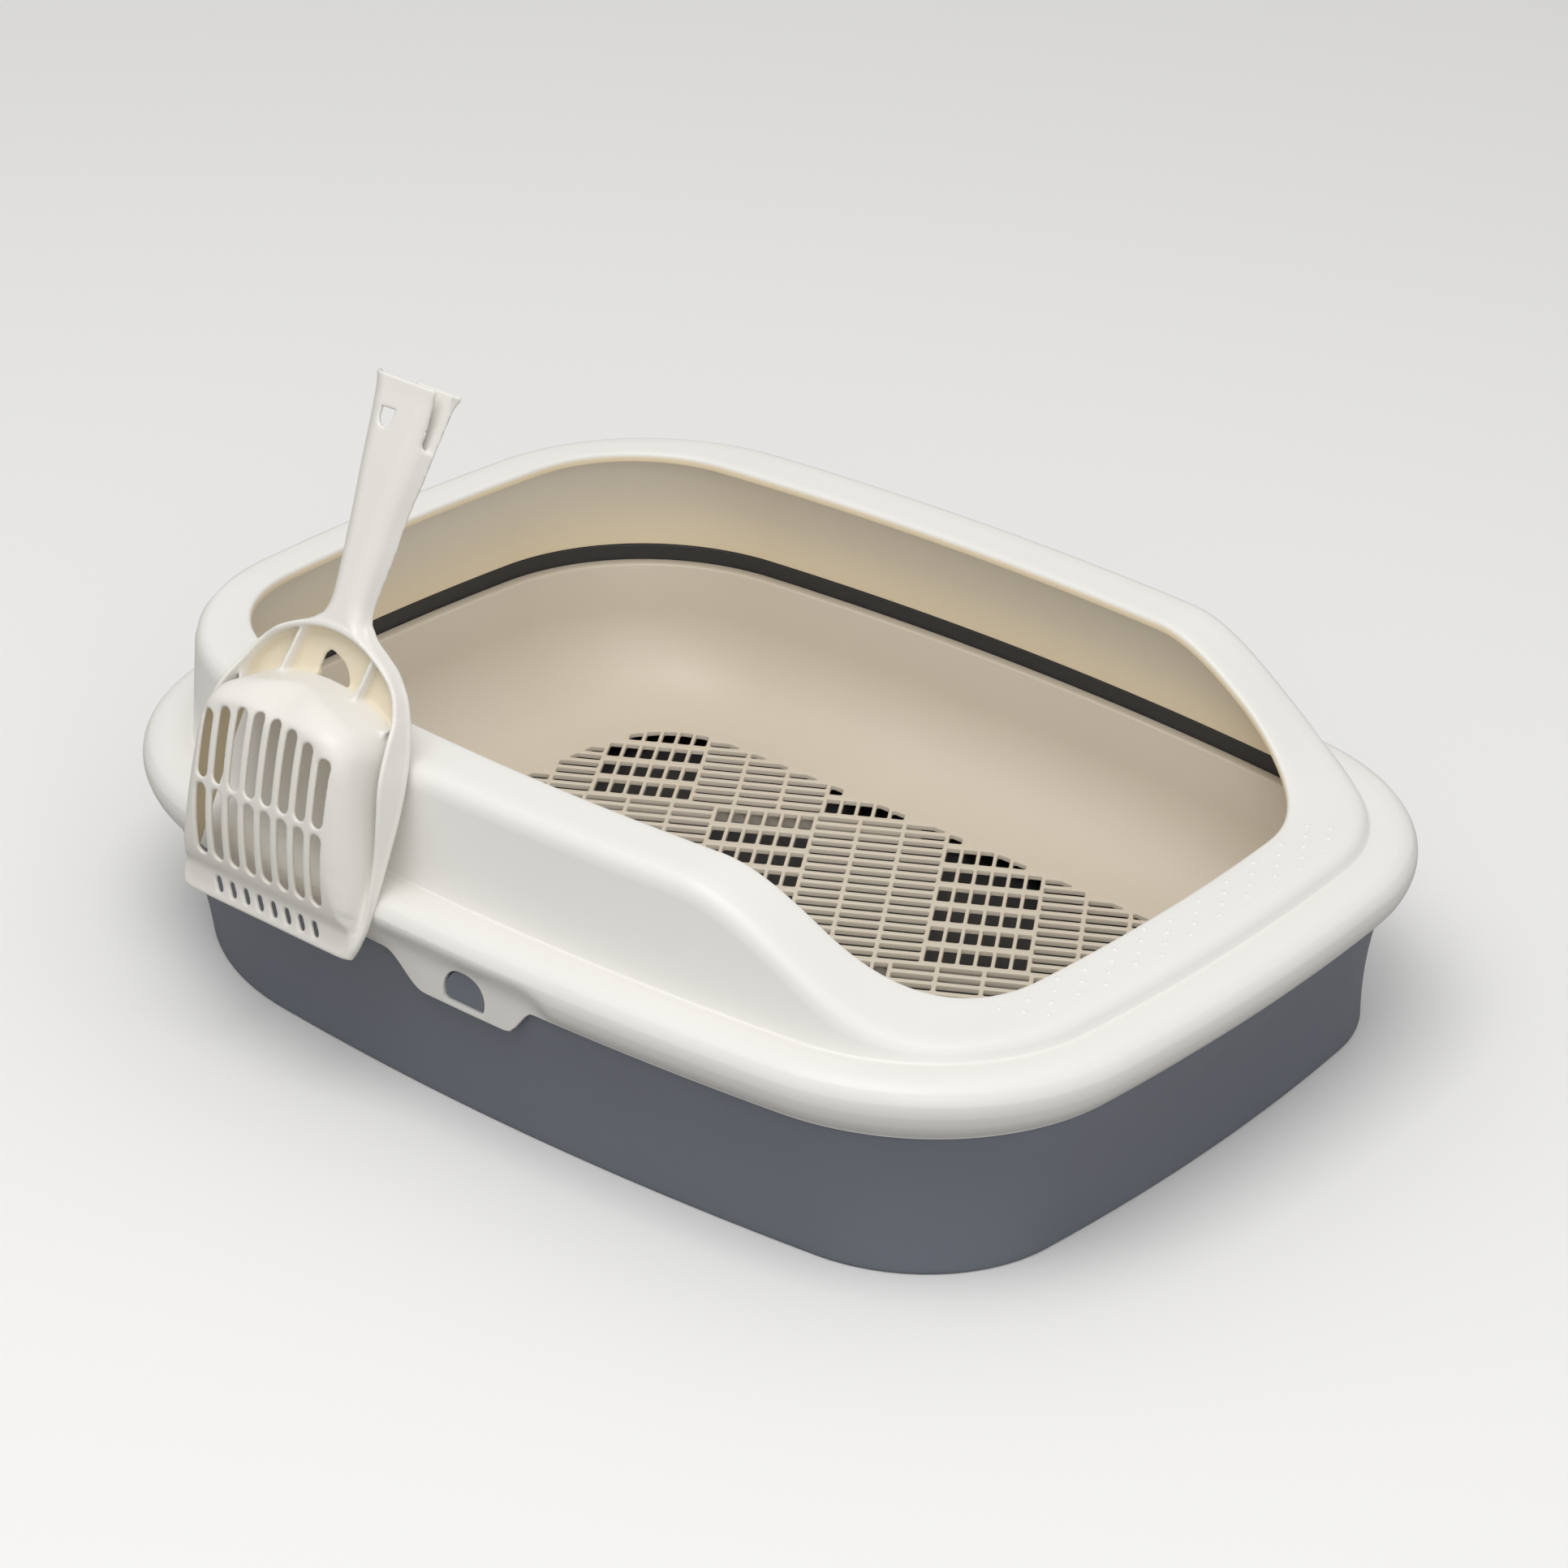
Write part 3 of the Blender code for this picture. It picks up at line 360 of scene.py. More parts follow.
def ring(outline, height):
    """The outline's points at one height, or at a height that depends on X and Y."""
    points = flat_ring(outline)
    heights = height(points) if callable(height) else np.full(len(points), height)
    return np.column_stack((points, heights))


def soften(corners, steps=5, closed=False):
    """Rounds a section: each corner ring turns into a quarter of an ellipse between its two sides.

    With P the corner, S and E the points at the given distances before and after it, a point of the
    curve is S + E - P + cos(t)(P - E) + sin(t)(P - S), with t from 0 to a right angle.
    """
    rows = []
    for index, (corner, before, after) in enumerate(corners):
        ends = not closed and index in (0, len(corners) - 1)
        if ends or (np.max(before) == 0 and np.max(after) == 0):
            rows.append(corner)
            continue
        previous = corners[index - 1][0]
        following = corners[(index + 1) % len(corners)][0]
        sides = []
        for neighbour, reach in ((previous, before), (following, after)):
            link = neighbour - corner
            length = np.linalg.norm(link, axis=1)
            share = np.minimum(np.asarray(reach) / np.maximum(length, 1e-9), 0.499)
            sides.append(corner + link * share[:, None])
        start, end = sides
        for turn in np.linspace(0, math.pi / 2, steps):
            rows.append(start + end - corner + math.cos(turn) * (corner - end)
                        + math.sin(turn) * (corner - start))
    return rows


def grid_faces(rows, columns, closed_rows):
    """Four-sided faces between neighbouring rows and columns of a grid whose columns close on themselves."""
    row = np.arange(rows if closed_rows else rows - 1)[:, None]
    column = np.arange(columns)[None, :]
    low = row * columns
    high = (row + 1) % rows * columns
    following = (column + 1) % columns
    return np.stack((low + column, low + following, high + following, high + column), axis=-1).reshape(-1, 4)


def add_piece(name, vertices, faces, **given):
    """A closed piece whose smooth faces point out."""
    mesh = bpy.data.meshes.new(name)
    mesh.from_pydata(np.asarray(vertices).tolist(), [], faces)
    cage = bmesh.new()
    cage.from_mesh(mesh)
    bmesh.ops.recalc_face_normals(cage, faces=cage.faces)
    cage.to_mesh(mesh)
    cage.free()
    smooth(mesh)
    return dress(name, mesh, **given)


def smooth(mesh):
    mesh.shade_smooth()
    mesh.set_sharp_from_angle(angle=SHARP_ANGLE)


def add_object(name, data):
    item = bpy.data.objects.new(name, data)
    bpy.context.scene.collection.objects.link(item)
    return item


def dress(name, mesh, plastic, body=None, slot=None, nodes=()):
    """A piece of one plastic, which may ride on a body and stand for CAD nodes."""
    piece = add_object(name, mesh)
    mesh.materials.append(plastic)
    if body:
        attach(piece, body)
    if nodes:
        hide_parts(*nodes)
    return piece


def shell(name, rows, closed, **given):
    """A skin over rows of rings, closed on itself or capped at both ends."""
    return add_piece(name, np.vstack(rows), skin_faces(len(rows), len(rows[0]), closed), **given)


def skin_faces(rows, columns, closed=False):
    """Faces of a grid that closes on itself, or has a cap on its first and its last row."""
    faces = grid_faces(rows, columns, closed).tolist()
    if not closed:
        faces.append(list(range(columns))[::-1])
        faces.append(list(range((rows - 1) * columns, rows * columns)))
    return faces


def carve(target, tool):
    """Cuts a tool out of the target's mesh with an exact Boolean, and removes the tool."""
    modifier = target.modifiers.new("carve", "BOOLEAN")
    modifier.operation = "DIFFERENCE"
    modifier.solver = "EXACT"
    modifier.object = tool
    graph = bpy.context.evaluated_depsgraph_get()
    result = bpy.data.meshes.new_from_object(target.evaluated_get(graph))
    target.modifiers.clear()
    old = target.data
    target.data = result
    result.name = old.name
    bpy.data.meshes.remove(old)
    tool_mesh = tool.data
    bpy.data.objects.remove(tool)
    bpy.data.meshes.remove(tool_mesh)


def ramp(value, low, high):
    """An S-curve from 0 at one value to 1 at the other, and flat beyond them."""
    share = np.clip((value - low) / (high - low), 0.0, 1.0)
    return share * share * (3 - 2 * share)


# Materials


def group_nodes(name, inputs, outputs):
    """A new shader node group, its inputs and outputs given as (name, kind)."""
    group = bpy.data.node_groups.new(name, "ShaderNodeTree")
    for direction, sockets in (("INPUT", inputs), ("OUTPUT", outputs)):
        for label, kind in sockets:
            group.interface.new_socket(name=label, in_out=direction, socket_type=f"NodeSocket{kind}")
    return group, group.nodes.new("NodeGroupInput"), group.nodes.new("NodeGroupOutput")


def noise(tree, vector, scale, detail, roughness=0.5):
    node = tree.nodes.new("ShaderNodeTexNoise")
    node.inputs["Scale"].default_value = scale
    node.inputs["Detail"].default_value = detail
    node.inputs["Roughness"].default_value = roughness
    tree.links.new(vector, node.inputs["Vector"])
    return node.outputs["Fac"]


def ranged(tree, value, low, high, to_low=0.0, to_high=1.0):
    node = tree.nodes.new("ShaderNodeMapRange")
    for label, number in zip(("From Min", "From Max", "To Min", "To Max"), (low, high, to_low, to_high)):
        node.inputs[label].default_value = number
    tree.links.new(value, node.inputs["Value"])
    return node.outputs["Result"]


def blend_colour(tree, share, first, second):
    node = tree.nodes.new("ShaderNodeMix")
    node.data_type = "RGBA"
    for value, label in ((share, "Factor_Float"), (first, "A_Color"), (second, "B_Color")):
        socket = next(item for item in node.inputs if item.identifier == label)
        if isinstance(value, bpy.types.NodeSocket):
            tree.links.new(value, socket)
        else:
            socket.default_value = value
    return next(item for item in node.outputs if item.identifier == "Result_Color")


def arithmetic(tree, operation, first, second):
    node = tree.nodes.new("ShaderNodeMath")
    node.operation = operation
    tree.links.new(first, node.inputs[0])
    tree.links.new(second, node.inputs[1])
    return node.outputs[0]


def bump(tree, height, strength, distance):
    node = tree.nodes.new("ShaderNodeBump")
    node.inputs["Distance"].default_value = distance
    tree.links.new(height, node.inputs["Height"])
    tree.links.new(strength, node.inputs["Strength"])
    return node


def mould_grain():
    """Fine spark-eroded grain over long soft flow waves, as a surface normal."""
    inputs = (("Vector", "Vector"), ("Grain", "Float"), ("Waves", "Float"))
    group, given, out = group_nodes("mould_grain", inputs, (("Normal", "Vector"),))
    vector = given.outputs["Vector"]
    waves = bump(group, noise(group, vector, 16.0, 1.0), given.outputs["Waves"], 0.002)
    grain = bump(group, noise(group, vector, 1500.0, 2.0, 0.6), given.outputs["Grain"], 0.0002)
    group.links.new(waves.outputs["Normal"], grain.inputs["Normal"])
    group.links.new(grain.outputs["Normal"], out.inputs["Normal"])
    return group


def moulded_colour():
    """A plastic's colour with slow shifts, faint dust and paler worn edges, and its roughness."""
    inputs = (("Vector", "Vector"), ("Color", "Color"), ("Shift", "Color"), ("Wear", "Color"),
              ("Wear Amount", "Float"), ("Roughness", "Float"))
    group, given, out = group_nodes("moulded_colour", inputs, (("Color", "Color"), ("Roughness", "Float")))
    vector = given.outputs["Vector"]
    slow = ranged(group, noise(group, vector, 7.0, 3.0), 0.3, 0.7)
    colour = blend_colour(group, slow, given.outputs["Color"], given.outputs["Shift"])
    dust = ranged(group, noise(group, vector, 420.0, 4.0, 0.7), 0.62, 0.72, 0.0, 0.10)
    colour = blend_colour(group, dust, colour, given.outputs["Wear"])
    geometry = group.nodes.new("ShaderNodeNewGeometry")
    edge = ranged(group, geometry.outputs["Pointiness"], 0.52, 0.60)
    scuffs = ranged(group, noise(group, vector, 90.0, 5.0, 0.65), 0.40, 0.62, 0.2, 1.0)
    worn = arithmetic(group, "MULTIPLY", edge, scuffs)
    amount = arithmetic(group, "MULTIPLY", worn, given.outputs["Wear Amount"])
    colour = blend_colour(group, amount, colour, given.outputs["Wear"])
    group.links.new(colour, out.inputs["Color"])
    uneven = ranged(group, noise(group, vector, 38.0, 4.0, 0.6), 0.3, 0.7, -0.05, 0.05)
    group.links.new(arithmetic(group, "ADD", given.outputs["Roughness"], uneven), out.inputs["Roughness"])
    return group


def group_node(tree, group, place, values):
    """A node that uses a group at a place, with values for its other inputs."""
    node = tree.nodes.new("ShaderNodeGroup")
    node.node_tree = group
    tree.links.new(place, node.inputs["Vector"])
    for label, value in values.items():
        node.inputs[label].default_value = value
    return node


def plastic(name, colour, shift, wear, roughness, grain, waves, wear_amount=0.35, glow_colour=None):
    """A moulded plastic: shared colour and grain groups into a Principled shader, and a painted glow within
    walls that light comes through.
    """
    material = bpy.data.materials.new(name)
    material.use_nodes = True
    tree = material.node_tree
    shader = tree.nodes["Principled BSDF"]
    place = tree.nodes.new("ShaderNodeTexCoord").outputs["Object"]
    look = group_node(tree, GROUPS["colour"], place, {
        "Color": (*colour, 1.0), "Shift": (*shift, 1.0), "Wear": (*wear, 1.0), "Wear Amount": wear_amount,
        "Roughness": roughness})
    relief = group_node(tree, GROUPS["grain"], place, {"Grain": grain, "Waves": waves})
    surface = look.outputs["Color"]
    # Painted glow: the glow colour is blended in by the stored share, standing for light that comes through
    # the walls and bounces within the hood or bowl.
    if glow_colour:
        attribute = tree.nodes.new("ShaderNodeAttribute")
        attribute.attribute_name = "painted_glow_share"
        surface = blend_colour(tree, attribute.outputs["Fac"], surface, (*glow_colour, 1.0))
    tree.links.new(surface, shader.inputs["Base Color"])
    tree.links.new(look.outputs["Roughness"], shader.inputs["Roughness"])
    tree.links.new(relief.outputs["Normal"], shader.inputs["Normal"])
    shader.inputs["Specular IOR Level"].default_value = 0.45
    return material


GROUPS = {"grain": mould_grain(), "colour": moulded_colour()}
# Body, slot and plastic of each moulding
PAN = {"body": "base_pan", "slot": "pan_plastic", "plastic": plastic(
    "blue_grey_plastic", (0.172, 0.190, 0.226), (0.162, 0.180, 0.216), (0.30, 0.32, 0.37), 0.46, 0.18, 0.12)}
# The waste tray's near-black grey is painted shade: it darkens the band under the hood's lip and the floor
# seen through the sieve as if deep in shadow.
WASTE_TRAY = {"body": "waste_tray", "slot": "waste_tray_plastic", "plastic": plastic(
    "waste_tray_painted_shade", (0.032, 0.032, 0.034), (0.038, 0.037, 0.037), (0.12, 0.12, 0.12), 0.50, 0.20, 0.10,
    0.25)}
SIFTING_TRAY = {"body": "sifting_tray", "slot": "tray_plastic", "plastic": plastic(
    "beige_plastic", (0.71, 0.645, 0.545), (0.68, 0.615, 0.515), (0.82, 0.77, 0.69), 0.42, 0.12, 0.10, 0.30)}
# The hood's glow colour is painted light: a yellowed glow on its lining, for light through its walls.
HOOD = {"body": "hood", "slot": "hood_plastic", "plastic": plastic(
    "cream_plastic_and_painted_glow", (0.835, 0.825, 0.795), (0.815, 0.805, 0.775), (0.90, 0.89, 0.87), 0.38, 0.10, 0.10, 0.30,
    glow_colour=(0.90, 0.76, 0.50))}
# The scoop's glow colour is painted light, inside its bowl and on its recess floor.
SCOOP = {"body": "scoop", "slot": "scoop_plastic", "plastic": plastic(
    "scoop_cream_plastic_and_painted_glow", (0.83, 0.815, 0.775), (0.81, 0.79, 0.745), (0.90, 0.89, 0.87), 0.32, 0.08, 0.16,
    0.30, glow_colour=(0.80, 0.70, 0.50))}


def paint_glow_share(piece, values):
    """Stores, point by point, how much painted glow a wall shows, standing for the light that comes through
    it.
    """
    layer = piece.data.attributes.new("painted_glow_share", "FLOAT", "POINT")
    layer.data.foreach_set("value", np.asarray(values, dtype=np.float32))


# Base pan


def pan_wall(height, thickness):
    """The pan's outline at a height, moved in by a thickness."""
    above = max(height - PAN_SHOULDER, 0.0) / (PAN_HEIGHT - PAN_SHOULDER)
    below = max(PAN_SHOULDER - height, 0.0)
    inset = PAN_SHOULDER_INSET + (PAN_RIM_INSET - PAN_SHOULDER_INSET) * above + PAN_LEAN * below
    share = min(height / PAN_SHOULDER, 1.0)
    return FOOT.toward(FLANGE.inset(inset), share).inset(thickness)


def pan_row(height, thickness, fillet=0.0):
    return ring(pan_wall(height, thickness), height), fillet, fillet


def pan():
    """The pan: underside, leaning wall, rim, lining and floor, rows lofted round the outline."""
    corners = [pan_row(0.0, UNDERSIDE_INSET), pan_row(0.0, 0.0, PAN_FOOT_FILLET)]
    corners += [pan_row(height, 0.0) for height in PAN_WALL_HEIGHTS]
    corners += [pan_row(PAN_HEIGHT, thickness, PAN_RIM_EDGE) for thickness in (0.0, WALL)]
    corners += [pan_row(height, WALL) for height in PAN_WALL_HEIGHTS[:1:-1]]
    for turn in np.linspace(0, math.pi / 2, 7):
        height = PAN_FLOOR + PAN_FLOOR_FILLET * (1 - math.sin(turn))
        corners.append(pan_row(height, WALL + PAN_FLOOR_FILLET * (1 - math.cos(turn))))
    shell("pan_shell", soften(corners), False, nodes=("base_pan",), **PAN)


def rounded_polygon(polygon, radius, count):
    """A convex outline with round corners: the inner outline's farthest point in each of a run of
    directions, moved out by the radius."""
    inner = np.array(clip_polygon(polygon, polygon, radius) or [np.mean(polygon, axis=0)])
    ways = compass(count)
    return inner[np.argmax(inner @ ways.T, axis=0)] + radius * ways


def compass(count):
    """Unit vectors in evenly spaced directions, the first half a step round from +X."""
    turns = (np.arange(count) + 0.5) * 2 * math.pi / count
    return np.column_stack((np.cos(turns), np.sin(turns)))


def clip_line(points, origin, inward):
    """The part of a convex polygon on the inner side of a line."""
    sides = [float(np.dot(point - origin, inward)) for point in points]
    kept = []
    for index, point in enumerate(points):
        following = (index + 1) % len(points)
        if sides[index] >= 0:
            kept.append(point)
        if sides[index] * sides[following] < 0:
            share = sides[index] / (sides[index] - sides[following])
            kept.append(point + (points[following] - point) * share)
    return kept


def d_outline(margin):
    """The lug's outline in the YZ plane: a disc with a flat underside and round lower corners."""
    radius = LUG_RADIUS + margin
    droop = math.asin((LUG_CENTRE[1] - (LUG_FLAT_Z - margin)) / radius)
    turns = np.linspace(-droop, math.pi + droop, 40)
    disc = np.column_stack((LUG_CENTRE[0] + radius * np.cos(turns), LUG_CENTRE[1] + radius * np.sin(turns)))
    return rounded_polygon(disc, LUG_CORNER, 48)


def side_rows(profile):
    """Rows of a pad on a long side: for each (X, margin) the D-shaped outline at that X."""
    return [np.insert(d_outline(margin), 0, x, axis=1) for x, margin in profile]


def lugs():
    """A D-shaped pad on each long side, its outline lofted out from the wall with a rounded face edge."""
    for side, word in ((-1, "near"), (1, "far")):
        profile = [(side * LUG_ROOT_X, 0.0), (side * (LUG_FACE_X - LUG_EDGE), 0.0)]
        for turn in np.linspace(0, math.pi / 2, 5)[1:]:
            profile.append((side * (LUG_FACE_X - LUG_EDGE + LUG_EDGE * math.sin(turn)),
                            LUG_EDGE * (math.cos(turn) - 1)))
        shell(f"pan_lug_{word}", side_rows(profile), False, **PAN)


# Waste tray


def waste_tray():
    """The tray, dark with painted shade: floor, wall, step, collar and flange, one section lofted round the
    outline.
    """
    flange_low = PAN_HEIGHT + GAP
    flange_high = flange_low + WALL
    collar = WASTE_RIM_INSET - WALL
    bottom = PAN_FLOOR + GAP
    foot = WASTE_STEP_INSET + WASTE_LEAN * (WASTE_STEP_HEIGHT - bottom)
    corners = flange_corners((
        (foot + WASTE_FLOOR_REACH, bottom, 0.0), (foot - WALL, bottom, WASTE_FLOOR_FILLET),
        (WASTE_STEP_INSET - WALL, WASTE_STEP_HEIGHT - WALL, 0.001), (collar, WASTE_STEP_HEIGHT - WALL, 0.001),
        (collar, flange_low, 0.0004), (PAN_RIM_INSET, flange_low, 0.0006),
        (PAN_RIM_INSET, flange_high, 0.0008), (collar, flange_high, 0.0008),
        (collar, WASTE_RIM_TOP, 0.0010), (WASTE_RIM_INSET, WASTE_RIM_TOP, 0.0010),
        (WASTE_RIM_INSET, WASTE_STEP_HEIGHT, 0.0006), (WASTE_STEP_INSET, WASTE_STEP_HEIGHT, 0.0008),
        (foot, WASTE_FLOOR_TOP, WASTE_FLOOR_FILLET), (foot + WASTE_FLOOR_REACH, WASTE_FLOOR_TOP, 0.0)))
    shell("waste_tray_shell", soften(corners), False, nodes=("waste_tray",), **WASTE_TRAY)


def flange_corners(section):
    """Corner rings of a section, each given by its inset from the flange, its height and its fillet."""
    return [(ring(FLANGE.inset(inset), height), radius, radius) for inset, height, radius in section]


# Sifting tray


def weave_openings():
    """Outlines of the sieve's openings: blocks of holes and of slots that swap places in each band."""
    window = flat_ring(SIEVE.inset(GAP + WEAVE_BORDER))[::6]
    openings = []
    for band, block in itertools.product(range(-WEAVE_REACH, WEAVE_REACH + 1), repeat=2):
        centre = WEAVE_CENTRE + WEAVE_ACROSS * (block * BLOCK_PITCH + BAND_SHIFT * (band % 2))
        centre = centre + WEAVE_ALONG * band * BAND_PITCH
        openings += block_of(centre, HOLE_SIZE, HOLE_PITCH, HOLE_COUNT)
        openings += block_of(centre + WEAVE_ACROSS * BLOCK_PITCH / 2, SLOT_SIZE, SLOT_PITCH, SLOT_COUNT)
    reach = np.abs(window).max(axis=0) + SLOT_SIZE[0]
    near = [opening for opening in openings if np.all(np.abs(opening.mean(axis=0)) <= reach)]
    clipped = [clip_polygon(opening, window) for opening in near]
    return [part for part in clipped if len(part) > 2 and polygon_area(part) > SMALLEST_OPENING]


def block_of(centre, size, pitch, count):
    """Rectangles of one size, counter-clockwise, spaced evenly in columns and rows round a centre."""
    ends = np.array(((-1, -1), (-1, 1), (1, 1), (1, -1))) / 2
    corners = ends[:, :1] * size[0] * WEAVE_ACROSS + ends[:, 1:] * size[1] * WEAVE_ALONG
    outlines = []
    for column in range(count[0]):
        for row in range(count[1]):
            offset = ((column - (count[0] - 1) / 2) * pitch[0] * WEAVE_ACROSS
                      + (row - (count[1] - 1) / 2) * pitch[1] * WEAVE_ALONG)
            outlines.append(centre + offset + corners)
    return outlines


def clip_polygon(polygon, window, margin=0.0):
    """The part of a convex polygon that lies a margin inside a convex, counter-clockwise window."""
    kept = list(np.array(polygon))
    for start, end in zip(window, np.roll(window, -1, axis=0)):
        edge = end - start
        length = math.hypot(*edge)
        if length < 1e-7:
            continue
        inward = np.array((-edge[1], edge[0])) / length
        kept = clip_line(kept, start + inward * margin, inward)
        if len(kept) < 3:
            return []
    return kept


def polygon_area(polygon):
    points = np.array(polygon)
    following = np.roll(points, -1, axis=0)
    return abs(np.sum(points[:, 0] * following[:, 1] - points[:, 1] * following[:, 0])) / 2


def pierced_sheet(border, outlines):
    """Triangles of a flat sheet between its border and the openings' outlines, all given as indices
    into the border's points followed by the outlines' points."""
    parts = [border] + outlines
    owner = np.repeat(np.arange(len(parts)) - 1, [len(part) for part in parts])
    edges = []
    for index in range(len(parts)):
        loop = np.flatnonzero(owner == index - 1)
        edges += zip(loop.tolist(), np.roll(loop, -1).tolist())
    points = [Vector(point) for point in np.vstack(parts).tolist()]
    result = delaunay_2d_cdt(points, edges, [], 0, 1e-7, True)
    source = np.array([ids[0] if ids else -1 for ids in result[3]])
    triangles = source[np.array([list(face) for face in result[2] if len(face) == 3])]
    owners = owner[triangles]
    inside = (owners[:, 0] >= 0) & (owners[:, 0] == owners[:, 1]) & (owners[:, 1] == owners[:, 2])
    return triangles[~inside & np.all(triangles >= 0, axis=1)]


def bowl_row(angle, thickness):
    """A ring of the bowl's wall, a quarter of an ellipse from the lip's edge down to the sieve floor."""
    outline = FLANGE.inset(BOWL_INSET).toward(SIEVE, 1 - math.cos(angle))
    drop = (BOWL_HEIGHT - SIEVE_TOP + thickness) * math.sin(angle)
    return ring(outline.inset(-thickness * math.cos(angle)), BOWL_HEIGHT - drop)


def sifting_tray():
    """Lip, bowl wall and pierced floor as one closed skin.

    Rows of rings run from the floor's edge up the bowl, over the lip and down the outside. The floor's
    two faces are triangulated between the rings' ends and the openings, whose own walls are rows too.
    """
    angles = np.linspace(math.pi / 2, 0, 16)
    inside = [(bowl_row(angle, 0.0), 0.0, 0.0) for angle in angles]
    lip = flange_corners((
        (LIP_INNER_INSET, LIP_TOP, 0.0012), (LIP_OUTER_INSET, LIP_TOP, 0.0009),
        (LIP_OUTER_INSET, LIP_BOTTOM, 0.0005), (LIP_INNER_INSET - WALL, LIP_BOTTOM, 0.0010)))
    outside = [(bowl_row(angle, WALL), 0.0, 0.0) for angle in reversed(angles[1:])]
    low = ring(SIEVE, SIEVE_TOP - SIEVE_THICKNESS)
    rows = soften(inside + lip + outside + [(low, 0.0, 0.0)], steps=4)
    columns = len(rows[0])
    base = np.array([rounded_polygon(opening, OPENING_CORNER, OPENING_COLUMNS)
                     for opening in weave_openings()])
    opening_rows = [(OPENING_FILLET * (1 - math.cos(turn)), SIEVE_TOP - OPENING_FILLET * (1 - math.sin(turn)))
                    for turn in np.linspace(math.pi / 2, 0, 3)]
    opening_rows.append((0.0, SIEVE_TOP - SIEVE_THICKNESS))
    ways = compass(OPENING_COLUMNS)
    levels = [np.concatenate((base + grow * ways, np.full((*base.shape[:2], 1), height)), axis=2)
              for grow, height in opening_rows]
    wall_start = len(rows) * columns
    size = base.shape[0] * OPENING_COLUMNS
    vertices = np.vstack(rows + [level.reshape(-1, 3) for level in levels])
    faces = grid_faces(len(rows), columns, False).tolist()
    for level in range(len(levels) - 1):
        index = wall_start + level * size + np.arange(size).reshape(-1, OPENING_COLUMNS)
        following = np.roll(index, -1, axis=1)
        faces += np.stack((index, following, following + size, index + size), axis=-1).reshape(-1, 4).tolist()
    for row, level in ((0, 0), (len(rows) - 1, len(levels) - 1)):
        flat = pierced_sheet(rows[row][:, :2], list(levels[level][:, :, :2]))
        own = np.where(flat < columns, flat + row * columns, flat - columns + wall_start + level * size)
        faces += own.tolist()
    add_piece("sifting_tray_shell", vertices, faces, nodes=("sifting_tray", "sieve_grid"), **SIFTING_TRAY)


def sieve_ribs():
    """Long ribs under the lines between the bands: flat bars cut to the floor's outline."""
    window = flat_ring(SIEVE.inset(2 * WALL))[::12]
    vertices = []
    faces = []
    for band in range(1 - WEAVE_REACH, WEAVE_REACH):
        centre = WEAVE_CENTRE + WEAVE_ALONG * (band + 0.5) * BAND_PITCH
        bar = clip_polygon(block_of(centre, (RIB_LENGTH, RIB_WIDTH), (0, 0), (1, 1))[0], window)
        if not bar:
            continue
        start = len(vertices)
        for height in (RIB_BOTTOM, SIEVE_TOP - SIEVE_THICKNESS / 2):
            vertices.extend((*point, height) for point in bar)
        faces += [[start + corner for corner in face] for face in skin_faces(2, len(bar))]
    add_piece("sieve_ribs", vertices, faces, **SIFTING_TRAY)


# Hood


def hood_height(points):
    """Height of the hood's top: low at the entry, then an S-shaped rise to the full height."""
    return ENTRY_TOP + (HOOD_TOP - ENTRY_TOP) * ramp(points[:, 1], RISE_FROM_Y, RISE_TO_Y)


def top_rise(top):
    """Height of the fillet between the hood's wall and its top, less where the wall is low."""
    return np.minimum(TOP_FILLET, TOP_FILLET_SHARE * (top - GROOVE_HEIGHT))


def stretch(points, ends):
    """1 on a stretch of the long sides, and an S-curve to 0 at each of its ends."""
    return ramp(points[:, 1], ends[0], ends[1]) * ramp(points[:, 1], ends[3], ends[2])


def flange_ring(inset, flat_inset, height):
    """A ring of the flange that is drawn in to another inset over the tabs."""
    share = stretch(flat_ring(FLANGE.inset(inset)), TAB_FLAT)[:, None]
    points = flat_ring(FLANGE.inset(inset)) * (1 - share) + flat_ring(FLANGE.inset(flat_inset)) * share
    return np.column_stack((points, np.full(len(points), height)))


def below_top(drop):
    return lambda points: hood_height(points) - drop


def skirt_edge(points):
    """Height of the skirt's lower edge, which dips in an S-curve to the tab over each lug."""
    return SKIRT_BOTTOM - (SKIRT_BOTTOM - TAB_BOTTOM) * stretch(points, TAB_DIP)


